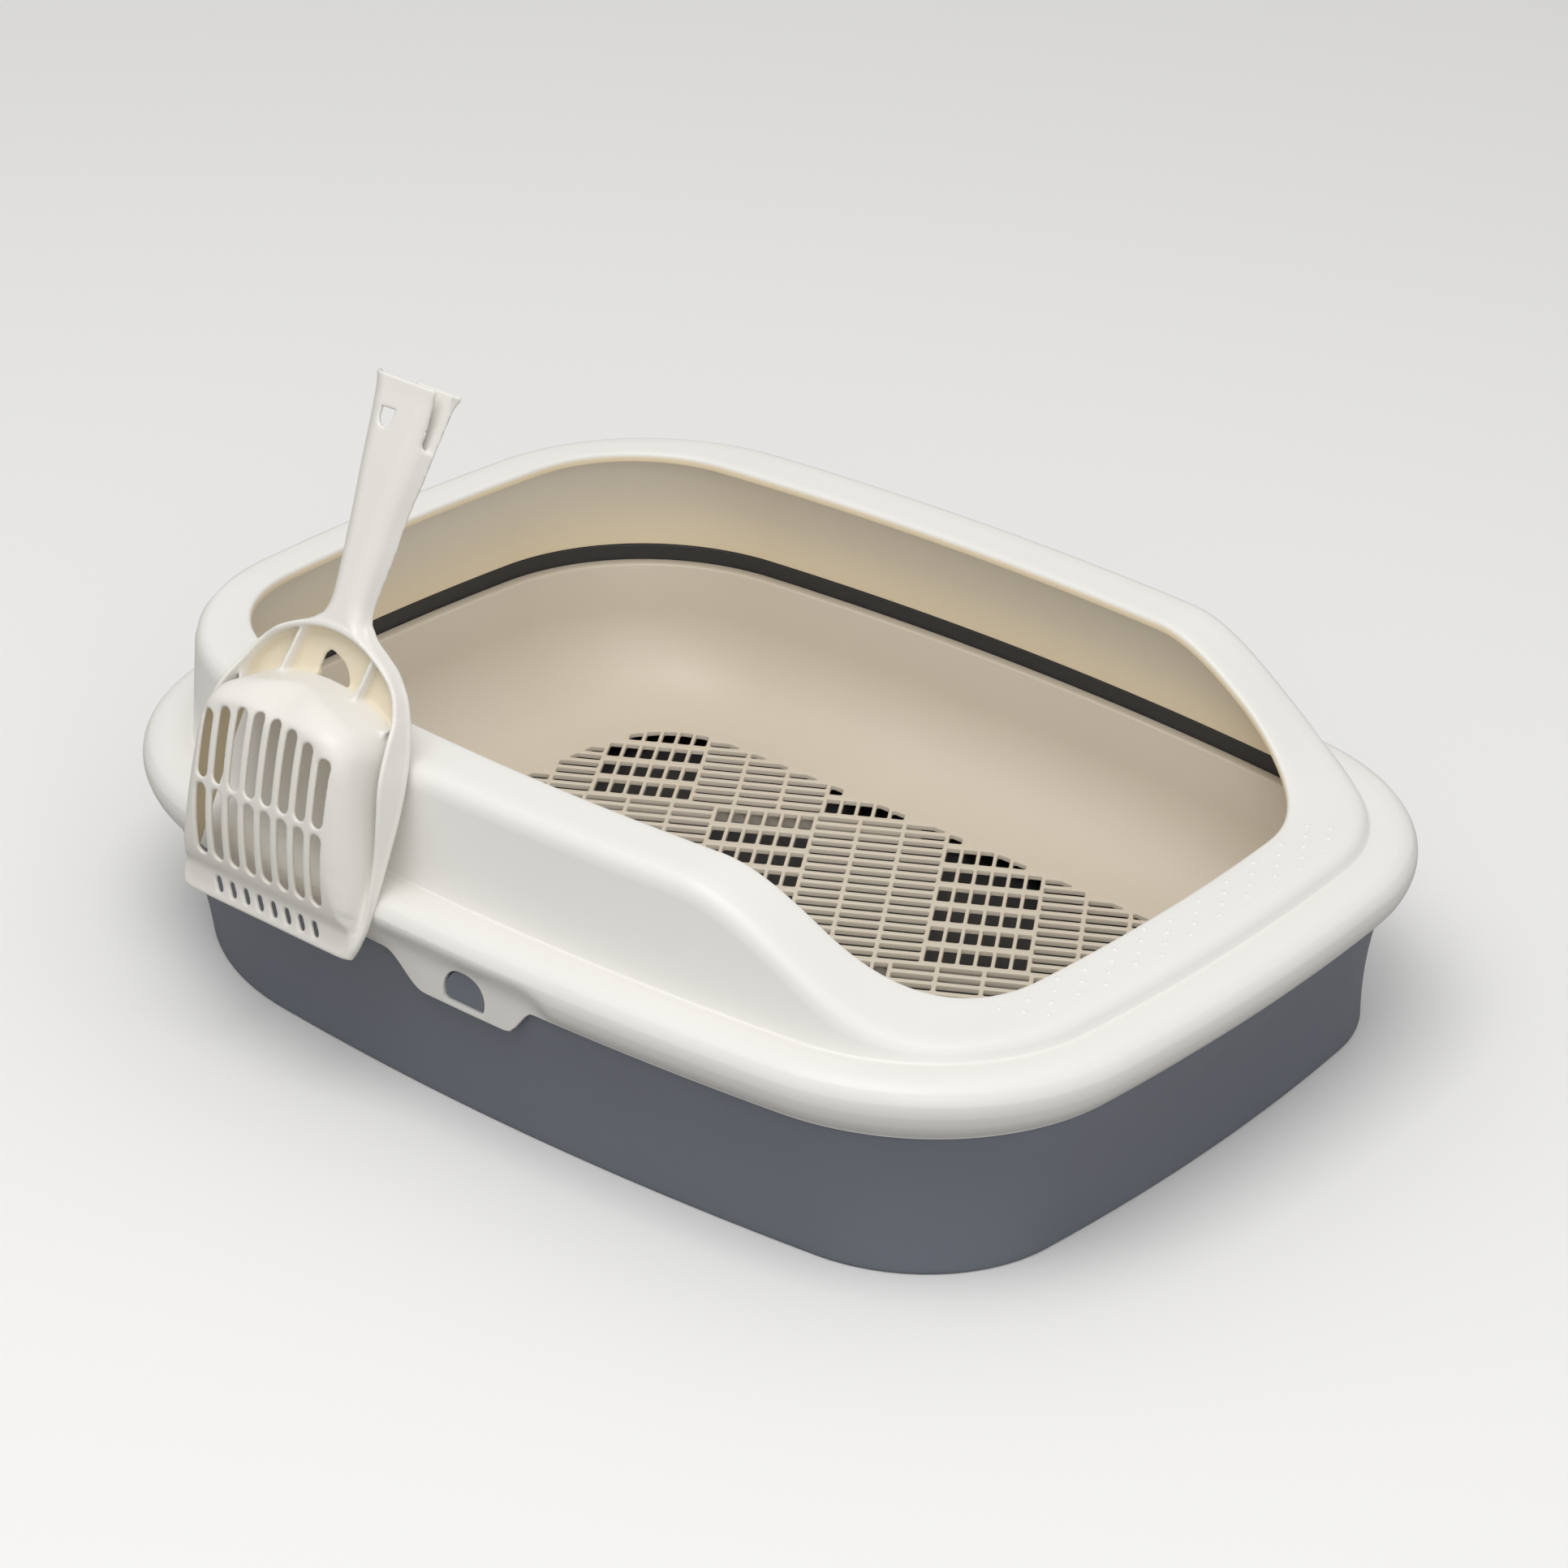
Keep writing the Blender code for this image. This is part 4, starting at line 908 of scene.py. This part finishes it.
def hood():
    """Flange with its tabs, groove, wall, ledge and downturned mouth, one closed section round the box.

    Every corner of the section is a ring whose height may follow the hood's own top edge.
    """
    corners = flange_corners(((0.0, skirt_edge, 0.0007),))
    corners += [(flange_ring(*row), radius, radius) for *row, radius in SKIRT_OUTSIDE]
    corners += flange_corners(SHOULDER)
    top = ring(FLANGE.inset(WALL_INSET), below_top(0.0))
    rise = top_rise(top[:, 2])
    corners.append((top, rise, TOP_FILLET_REACH))
    start = flat_ring(FLANGE.inset(LEDGE_INSET))
    for share in (0.0, 0.33, 0.66):
        blend = start * (1 - share) + flat_ring(MOUTH) * share
        corners.append((np.column_stack((blend, hood_height(blend))), 0.0, 0.0))
    for outward, drop, radius in MOUTH_SECTION:
        corners.append((ring(MOUTH.inset(-outward), below_top(drop)), radius, radius))
    foot = ring(FLANGE.inset(LEDGE_FOOT_INSET), below_top(LEDGE_THICKNESS))
    corners.append((foot, LEDGE_FOOT_FILLET, np.minimum(rise, LEDGE_FOOT_FILLET)))
    corners += flange_corners(SHOULDER_LINING)
    corners += [(flange_ring(*row), radius, radius) for *row, radius in SKIRT_LINING]
    corners += flange_corners(((SKIRT_WALL, SKIRT_LINING_FOOT, 0.001), (SKIRT_WALL, skirt_edge, 0.0007)))
    piece = shell("hood_shell", soften(corners, steps=4, closed=True), True, nodes=("hood",), **HOOD)
    for side in (-1, 1):
        profile = [(side * x, LUG_CLEARANCE) for x in TAB_HOLE_X]
        carve(piece, shell("tab_hole", side_rows(profile), False, plastic=HOOD["plastic"]))
    smooth(piece.data)
    # Painted glow on the hood's lining, for light through its walls.
    spots = np.empty(len(piece.data.vertices) * 3)
    piece.data.vertices.foreach_get("co", spots)
    paint_glow_share(piece, hood_glow_share(spots.reshape(-1, 3)))


def hood_glow_share(spots):
    """Share of painted glow: 0.75 on the lining of the hood's wall and under its ledge, 0 on its outer face.
    """
    scale = (FLANGE.half, FLANGE.back)
    outline = flat_ring(FLANGE.inset(WALL_INSET + WALL * 0.8)) / scale
    here = spots[:, :2] / scale
    limit = np.interp(np.arctan2(here[:, 1], here[:, 0]), np.arctan2(outline[:, 1], outline[:, 0]),
                      np.hypot(*outline.T), period=2 * math.pi)
    depth = limit - np.hypot(*here.T)
    low = hood_height(spots) - LEDGE_THICKNESS * 0.6 - spots[:, 2]
    return ramp(depth, 0.0, 0.002) * ramp(low, 0.0, 0.001) * 0.75


def entry_bumps():
    """Grip bumps on the entry ledge: low domes on a square lattice turned by nearly 30 degrees.

    A dome is a flattened ball: radius sin(t) across and height cos(t) up, t from pole to pole.
    """
    step = np.array((math.cos(BUMP_TURN), math.sin(BUMP_TURN))) * BUMP_PITCH
    other = np.array((-step[1], step[0]))
    index = np.arange(-30, 31)
    spots = (BUMP_START + index[:, None, None] * step + index[None, :, None] * other).reshape(-1, 2)
    mouth = ledge_depth(spots, MOUTH.inset(-BUMPS_FROM_MOUTH))
    edge = ledge_depth(spots, FLANGE.inset(WALL_INSET + BUMPS_FROM_EDGE))
    inside = (mouth < 0) & (edge > 0) & (spots[:, 1] < BUMPS_BACK) & (np.abs(spots[:, 0]) < BUMPS_HALF_WIDTH)
    spots = spots[inside]
    polar = np.linspace(BUMP_POLE, math.pi - BUMP_POLE, BUMP_GRID[0])[:, None]
    turn = np.arange(BUMP_GRID[1]) * 2 * math.pi / BUMP_GRID[1]
    unit = np.broadcast_arrays(np.sin(polar) * np.cos(turn), np.sin(polar) * np.sin(turn), np.cos(polar))
    unit = np.stack(unit, axis=-1).reshape(-1, 3) * BUMP_SIZE
    vertices = (np.column_stack((spots, ledge_surface(spots)))[:, None, :] + unit).reshape(-1, 3)
    faces = [[start + corner for corner in face] for start in range(0, len(vertices), len(unit))
             for face in skin_faces(*BUMP_GRID)]
    piece = add_piece("entry_bumps", vertices, faces, **HOOD)
    paint_glow_share(piece, np.zeros(len(vertices)))


def ledge_depth(spots, outline):
    """How far inside an outline's front end each point lies, positive inside."""
    points = flat_ring(outline)
    front = points[points[:, 1] < -0.15]
    front = front[np.argsort(front[:, 0])]
    return spots[:, 1] - np.interp(spots[:, 0], front[:, 0], front[:, 1])


def ledge_surface(spots):
    """Height of the hood's skin at points of the entry ledge: flat, then down its outer fillet."""
    top = hood_height(spots)
    depth = ledge_depth(spots, FLANGE.inset(WALL_INSET))
    share = np.clip(1 - depth / TOP_FILLET_REACH, 0.0, 1.0)
    return top - top_rise(top) * (1 - np.sqrt(1 - share ** 2)) - BUMP_SINK


def hook():
    """The tongue that the scoop hangs on: a flat plate with round upper corners and soft edges."""
    turns = np.linspace(0, math.pi / 2, 7)
    left = HOOK_HALF_WIDTH - HOOK_CORNER
    upper = [(left + HOOK_CORNER * math.cos(turn), HOOK_Z[1] - HOOK_CORNER + HOOK_CORNER * math.sin(turn))
             for turn in turns]
    outline = [(HOOK_HALF_WIDTH, HOOK_Z[0])] + upper + [(-y, z) for y, z in reversed(upper)]
    outline = np.array(outline + [(-HOOK_HALF_WIDTH, HOOK_Z[0])])
    centre = outline.mean(axis=0)
    rows = []
    for x, margin in ((HOOK_X[0], HOOK_EDGE), (HOOK_X[0] + HOOK_EDGE, 0.0), (HOOK_X[1] - HOOK_EDGE, 0.0),
                      (HOOK_X[1], HOOK_EDGE)):
        shrunk = centre + (outline - centre) * (1 - margin / HOOK_HALF_WIDTH)
        rows.append(np.column_stack((np.full(len(shrunk), x), shrunk[:, 0] + SCOOP_Y, shrunk[:, 1])))
    piece = shell("scoop_hook", rows, False, **HOOD)
    paint_glow_share(piece, np.zeros(len(piece.data.vertices)))


# Scoop


def smooth_curve(points, steps):
    """A run of cubic arcs through points: each point's tangent leans toward its nearer neighbour."""
    ends = np.vstack((2 * points[0] - points[1], points, 2 * points[-1] - points[-2]))
    share = np.linspace(0, 1, steps, endpoint=False)[:, None]
    arcs = []
    for index in range(1, len(points)):
        before, start, end, after = ends[index - 1:index + 3]
        reach = np.linalg.norm(end - start)
        first = (end - before) * reach / (np.linalg.norm(start - before) + reach)
        last = (after - start) * reach / (np.linalg.norm(after - end) + reach)
        square, cube = share ** 2, share ** 3
        arcs.append(start * (2 * cube - 3 * square + 1) + first * (cube - 2 * square + share)
                    + end * (3 * square - 2 * cube) + last * (cube - square))
    return np.vstack(arcs + [points[-1:]])


def mirrored(half):
    return np.vstack((half, half[::-1] * (-1, 1)))


def outline_distance(spots, outline):
    """Distance of points from a closed outline, to its nearest side, and negative inside it."""
    distance = np.full(spots.shape[:-1], np.inf)
    inside = np.zeros(spots.shape[:-1], dtype=bool)
    for start, end in zip(outline, np.roll(outline, -1, axis=0)):
        distance = np.minimum(distance, segment_distance(spots, start, end))
        crosses = (start[1] > spots[..., 1]) != (end[1] > spots[..., 1])
        rise = end[1] - start[1] if end[1] != start[1] else 1.0
        edge = (end[0] - start[0]) * (spots[..., 1] - start[1]) / rise
        inside ^= crosses & (spots[..., 0] - start[0] < edge)
    return np.where(inside, -distance, distance)


def segment_distance(spots, start, end):
    """Distance of points from a straight piece: to the nearest point on it."""
    edge = np.subtract(end, start)
    away = spots - np.asarray(start)
    share = np.clip(away @ edge / max(edge @ edge, 1e-12), 0, 1)
    return np.hypot(*np.moveaxis(away - share[..., None] * edge, -1, 0))


def soft_least(first, second, fillet):
    """The lesser of two fields, less a parabola of their difference where it is below the fillet."""
    gap = np.maximum(fillet - np.abs(first - second), 0.0)
    return np.minimum(first, second) - gap * gap / (4 * fillet)


def soft_most(first, second, fillet):
    return -soft_least(-first, -second, fillet)


def round_most(first, second, radius):
    """The greater of two fields, with a round edge: inside the radius, the length of the two together."""
    return (np.minimum(-radius, np.maximum(first, second))
            + np.hypot(np.maximum(radius + first, 0.0), np.maximum(radius + second, 0.0)))


def slab(depth, thickness=SCOOP_WALL):
    """Below 0 from where a depth is 0 to where it is the thickness."""
    return np.abs(depth - thickness / 2) - thickness / 2


def scoop_plan():
    """Distances in the rim plane, on a fine grid: rim, bowl, slots, ribs, and the holes at root and tip."""
    axes = [low + PLAN_CELL * np.arange(count) for low, count in zip(PLAN_LOW, PLAN_COUNT)]
    spots = np.stack(np.meshgrid(*axes, indexing="ij"), axis=-1)
    slots = []
    way = np.array((-math.sin(LIP_SLIT_TURN), math.cos(LIP_SLIT_TURN))) * LIP_SLIT_REACH
    for place in np.arange(SCOOP_SLOT_COUNT) - (SCOOP_SLOT_COUNT - 1) / 2:
        centre = place * SCOOP_SLOT_PITCH
        high = UPPER_SLOTS[1] - OUTER_SLOT_DROP * (centre / OUTER_SLOT) ** 2
        for low, top in (LOWER_SLOTS, (UPPER_SLOTS[0], high)):
            ends = ((centre, low + SCOOP_SLOT_RADIUS), (centre, top - SCOOP_SLOT_RADIUS))
            slots.append(segment_distance(spots, *ends) - SCOOP_SLOT_RADIUS)
        middle = np.array((place * LIP_SLIT_PITCH, LIP_SLIT_ALONG))
        slots.append(segment_distance(spots, middle - way, middle + way) - LIP_SLIT_RADIUS)
    ribs = [segment_distance(spots, start, end) - RIB_HALF_WIDTH for start, end in SCOOP_RIBS]
    rim, bowl = (outline_distance(spots, mirrored(smooth_curve(half, 5)))
                 for half in (SCOOP_RIM[:, :2], SCOOP_BOWL))
    root = outline_distance(spots, np.vstack((smooth_curve(ROOT_HOLE, 4), ROOT_HOLE_FOOT)))
    hang = outline_distance(spots, HANG_HOLE)
    return np.stack((rim, bowl, np.min(slots, axis=0), np.min(ribs, axis=0), root, hang), axis=-1)


def plan_values(plan, across, along):
    """The plan's distances between its grid points, straight from corner to corner."""
    u, v = (np.clip((value - low) / PLAN_CELL, 0, count - 1.001)
            for value, low, count in zip((across, along), PLAN_LOW, PLAN_COUNT))
    column = u.astype(int)
    row = v.astype(int)
    right = (u - column)[..., None]
    above = (v - row)[..., None]
    low, high = (plan[column, here] * (1 - right) + plan[column + 1, here] * right for here in (row, row + 1))
    return np.moveaxis(low * (1 - above) + high * above, -1, 0)


RIM_CURVE = smooth_curve(SCOOP_RIM[1:-1, 1:], 6)
BACK_CURVE = smooth_curve(SCOOP_BACK, 8)
HANDLE_CURVE = smooth_curve(SCOOP_HANDLE, 8)


def bowl_field(bowl, across, along, out):
    """The bowl's outer face: walls that lean in from its outline, and a bulging, dented back."""
    dent = DENT_DEPTH * np.exp(-(across / DENT_HALF_WIDTH) ** 2) * ramp(along, *DENT_SPAN)
    crown = CROWN_HEIGHT * (across / CROWN_HALF_WIDTH) ** 2 * ramp(along, *CROWN_SPAN)
    back = np.interp(along, *BACK_CURVE.T) - crown - dent
    steep = np.interp(along, *BACK_STEEPNESS.T)
    radius = np.clip((back - 1.0) * BACK_ROUNDING_SHARE, *BACK_ROUNDING)
    radius = radius + END_ROUNDING * ramp(along, *END_SPAN)
    lean = SIDE_LEAN + END_LEAN * ramp(along, *LEAN_SPAN)
    return round_most((bowl + lean * out) / np.hypot(1.0, lean), (out - back) * steep, radius)


def handle_field(across, along, out):
    """The handle's outer face, with sides that lean in to a flat front, and height above its open back."""
    bend, back, front, depth = (np.interp(along, HANDLE_CURVE[:, 0], column) for column in HANDLE_CURVE.T[1:])
    level = out - bend
    side = (np.abs(across) - back - (front - back) * level / depth) * SIDE_SHARE
    return round_most(side, level - depth, ROOT_ROUNDING + GRIP_ROUNDING * ramp(along, *GRIP_SPAN)), level


def scoop_arch(across, along, out):
    """The handle: a shell open at the back, an arched root wall, and a slot and a rear plate at its tip."""
    handle, level = handle_field(across, along, out)
    from_root = along - (ROOT_ALONG - across ** 2 / ROOT_BULGE)
    past_tip = along - SCOOP_LENGTH
    arch = round_most(slab(-handle), -level, WALL_EDGE)
    arch = soft_least(arch, np.maximum(np.maximum(handle, slab(from_root)), -level), ROOT_FILLET)
    arch = round_most(soft_most(arch, -from_root, HANDLE_EDGE), past_tip, WALL_EDGE)
    slot = segment_distance(np.stack((across, along), axis=-1), *TIP_SLOT) - TIP_SLOT_RADIUS
    arch = soft_most(arch, -np.maximum(slot, TIP_SLOT_FLOOR - level), HANDLE_EDGE)
    plate = np.maximum(np.maximum(TIP_PLATE[0] - across, TIP_PLATE[1] - along), handle + PLATE_MARGIN)
    plate = round_most(round_most(plate, slab(level), PLATE_EDGE), past_tip, WALL_EDGE)
    return soft_least(arch, plate, PLATE_FILLET)


def scoop_field(plan, across, along, out):
    """Below 0 in the plastic: plate, rim wall, ribs, bowl and handle, less the hollow and the openings."""
    rim, bowl, slots, ribs, root_hole, hang_hole = plan_values(plan, across, along)
    top = np.interp(along, *RIM_CURVE.T)
    dome = bowl_field(bowl, across, along, out)
    body = round_most(rim, slab(out), RIM_EDGE)
    body = soft_least(body, round_most(slab(-rim), slab(out, top), WALL_EDGE), WALL_FILLET)
    rib = soft_most(ribs, np.maximum(out - np.minimum(top - EDGE_MARGIN, RIB_TOP), -out), WALL_EDGE)
    body = soft_least(body, np.maximum(rib, rim + EDGE_MARGIN), RIB_FILLET)
    walls = soft_most(np.maximum(dome, EDGE_MARGIN - along), -out, RIM_EDGE)
    body = soft_least(body, walls, BOWL_FILLET)
    body = soft_least(body, scoop_arch(across, along, out), WALL_FILLET)
    body = soft_most(soft_most(body, -(dome + SCOOP_WALL), HOLLOW_EDGE), -slots, HOLE_EDGE)
    body = soft_most(body, -np.maximum(root_hole, out - ROOT_HOLE_DEPTH), HOLE_EDGE)
    return soft_most(body, -hang_hole, HOLE_EDGE)


def scoop_glow_share(plan, across, along, out):
    """How much painted glow shows, for light through the plastic: all inside the bowl, most on the recess's
    floor.
    """
    rim, bowl = plan_values(plan, across, along)[:2]
    inside = ramp(bowl_field(bowl, across, along, out), -1.0, -2.0)
    recess = ramp(out, 6.0, 2.0) * ramp(rim, -1.2, -2.2) * ramp(along, 96.0, 104.0) * (along < 136.0)
    return np.maximum(inside, 0.8 * recess)


def net(field, low, counts, step):
    """A skin on a field's zero: a point in each cell that it crosses, at the mean of the crossings on the
    cell's edges, and a face round each grid edge that it crosses."""
    axes = [low[axis] + step * np.arange(counts[axis]) for axis in range(3)]
    along, out = np.meshgrid(axes[1], axes[2], indexing="ij")
    values = np.stack([field(np.full(along.shape, across), along, out) for across in axes[0]])
    cells = [count - 1 for count in counts]
    total = np.zeros((*cells, 3))
    hits = np.zeros(cells, dtype=int)
    crossings = []
    for axis in range(3):
        first = np.moveaxis(values, axis, 0)[:-1]
        second = np.moveaxis(values, axis, 0)[1:]
        crossed = (first < 0) != (second < 0)
        share = np.where(crossed, first / np.where(crossed, first - second, 1.0), 0.0)
        first, crossed, share = (np.moveaxis(item, 0, axis) for item in (first, crossed, share))
        crossings.append((crossed, first < 0))
        one, two = [other for other in range(3) if other != axis]
        for across, up in itertools.product((0, 1), repeat=2):
            window = [slice(None)] * 3
            window[one] = slice(across, across + cells[one])
            window[two] = slice(up, up + cells[two])
            here = crossed[tuple(window)]
            hits += here
            total[..., axis] += share[tuple(window)] * here
            total[..., one] += across * here
            total[..., two] += up * here
    active = hits > 0
    number = np.full(cells, -1)
    number[active] = np.arange(np.count_nonzero(active))
    points = low + step * (np.argwhere(active) + total[active] / hits[active][:, None])
    faces = []
    for axis, (crossed, inside) in enumerate(crossings):
        spots = np.argwhere(crossed)
        offsets = np.zeros((4, 3), dtype=int)
        offsets[1:3, (axis + 1) % 3] = -1
        offsets[2:, (axis + 2) % 3] = -1
        quads = np.stack([number[tuple((spots + offset).T)] for offset in offsets], axis=1)
        turned = ~inside[crossed]
        quads[turned] = quads[turned][:, ::-1]
        faces.append(quads)
    return points, np.vstack(faces)


def relax(points, faces):
    """Moves each point halfway to the mean of the middles of its faces."""
    total = np.zeros_like(points)
    count = np.zeros(len(points))
    middle = points[faces].mean(axis=1)
    for corner in faces.T:
        np.add.at(total, corner, middle)
        np.add.at(count, corner, 1)
    return (points + total / count[:, None]) / 2


def settle(field, points):
    """Moves points onto the field's zero, down its slope by its value, and 0.5 mm at most."""
    step = 0.1
    slope = np.stack([(field(*(points + way).T) - field(*(points - way).T)) / (2 * step)
                      for way in np.eye(3) * step], axis=1)
    move = -slope * (field(*points.T) / np.maximum(np.sum(slope ** 2, axis=1), 0.25))[:, None]
    length = np.linalg.norm(move, axis=1)
    return points + move * np.minimum(1.0, 0.5 / np.maximum(length, 1e-9))[:, None]


def scoop():
    """The whole scoop in one skin, hung at its place on the hood."""
    plan = scoop_plan()

    def field(across, along, out):
        return scoop_field(plan, across, along, out)

    points, faces = net(field, NET_LOW, NET_COUNTS, NET_STEP)
    for _ in range(2):
        points = settle(field, relax(points, faces))
    mesh = bpy.data.meshes.new("scoop_skin")
    mesh.from_pydata(points.tolist(), [], faces.tolist())
    lean, rise = math.sin(SCOOP_LEAN), math.cos(SCOOP_LEAN)
    turn = Matrix(((0.0, lean, -rise), (-1.0, 0.0, 0.0), (0.0, rise, lean))).to_4x4()
    mesh.transform(Matrix.Translation(SCOOP_LIP) @ turn @ Matrix.Scale(0.001, 4))
    mesh.shade_smooth()
    piece = dress("scoop_skin", mesh, nodes=("scoop",), **SCOOP)
    # Painted glow inside the bowl and on the recess floor.
    paint_glow_share(piece, scoop_glow_share(plan, *points.T))


# All pieces


pan()
lugs()
waste_tray()
sifting_tray()
sieve_ribs()
hood()
entry_bumps()
hook()
scoop()


# Studio


def area_lamp(name, place, size, power, colour):
    """A lamp that faces the box."""
    data = bpy.data.lights.new(name, "AREA")
    data.shape = "RECTANGLE"
    data.size, data.size_y = size
    data.energy = power
    data.color = colour
    lamp = add_object(name, data)
    lamp.location = place
    lamp.rotation_euler = (Vector((0.0, 0.0, 0.1)) - Vector(place)).to_track_quat("-Z", "Y").to_euler()


def studio():
    """A pale floor, even white surroundings and two broad lamps."""
    mesh = bpy.data.meshes.new("studio_floor")
    mesh.from_pydata([(-6, -6, 0), (6, -6, 0), (6, 6, 0), (-6, 6, 0)], [], [(0, 1, 2, 3)])
    floor = add_object("studio_floor", mesh)
    paint = bpy.data.materials.new("studio_floor")
    paint.use_nodes = True
    tree = paint.node_tree
    shader = tree.nodes["Principled BSDF"]
    shader.inputs["Roughness"].default_value = 0.8
    shader.inputs["Specular IOR Level"].default_value = 0.1
    seen = tree.nodes.new("ShaderNodeLightPath").outputs["Is Camera Ray"]
    colour = blend_colour(tree, seen, (0.36, 0.35, 0.34, 1.0), (0.86, 0.86, 0.86, 1.0))
    tree.links.new(colour, shader.inputs["Base Color"])
    mesh.materials.append(paint)
    world = bpy.data.worlds.new("studio")
    world.use_nodes = True
    sky = world.node_tree.nodes["Background"]
    sky.inputs["Color"].default_value = (1.0, 0.99, 0.975, 1.0)
    sky.inputs["Strength"].default_value = 0.62
    bpy.context.scene.world = world
    area_lamp("key", (-0.9, -0.2, 2.6), (1.8, 1.8), 30.0, (1.0, 0.99, 0.97))
    area_lamp("fill", (-1.6, -1.8, 1.4), (1.5, 1.2), 11.0, (0.97, 0.98, 1.0))
    bpy.context.scene.view_settings.view_transform = "Standard"


def camera():
    """The photograph's viewpoint, solved from the box's rims and the sieve's rows."""
    data = bpy.data.cameras.new("camera")
    data.sensor_width = 36.0
    data.sensor_fit = "HORIZONTAL"
    data.lens = CAMERA_LENS
    data.shift_x = CAMERA_SHIFT
    data.clip_start = 0.05
    item = add_object("camera", data)
    turn = Matrix((CAMERA_RIGHT, CAMERA_UP, CAMERA_BACK)).transposed().to_4x4()
    item.matrix_world = Matrix.Translation(CAMERA_PLACE) @ turn
    bpy.context.scene.camera = item


studio()
camera()
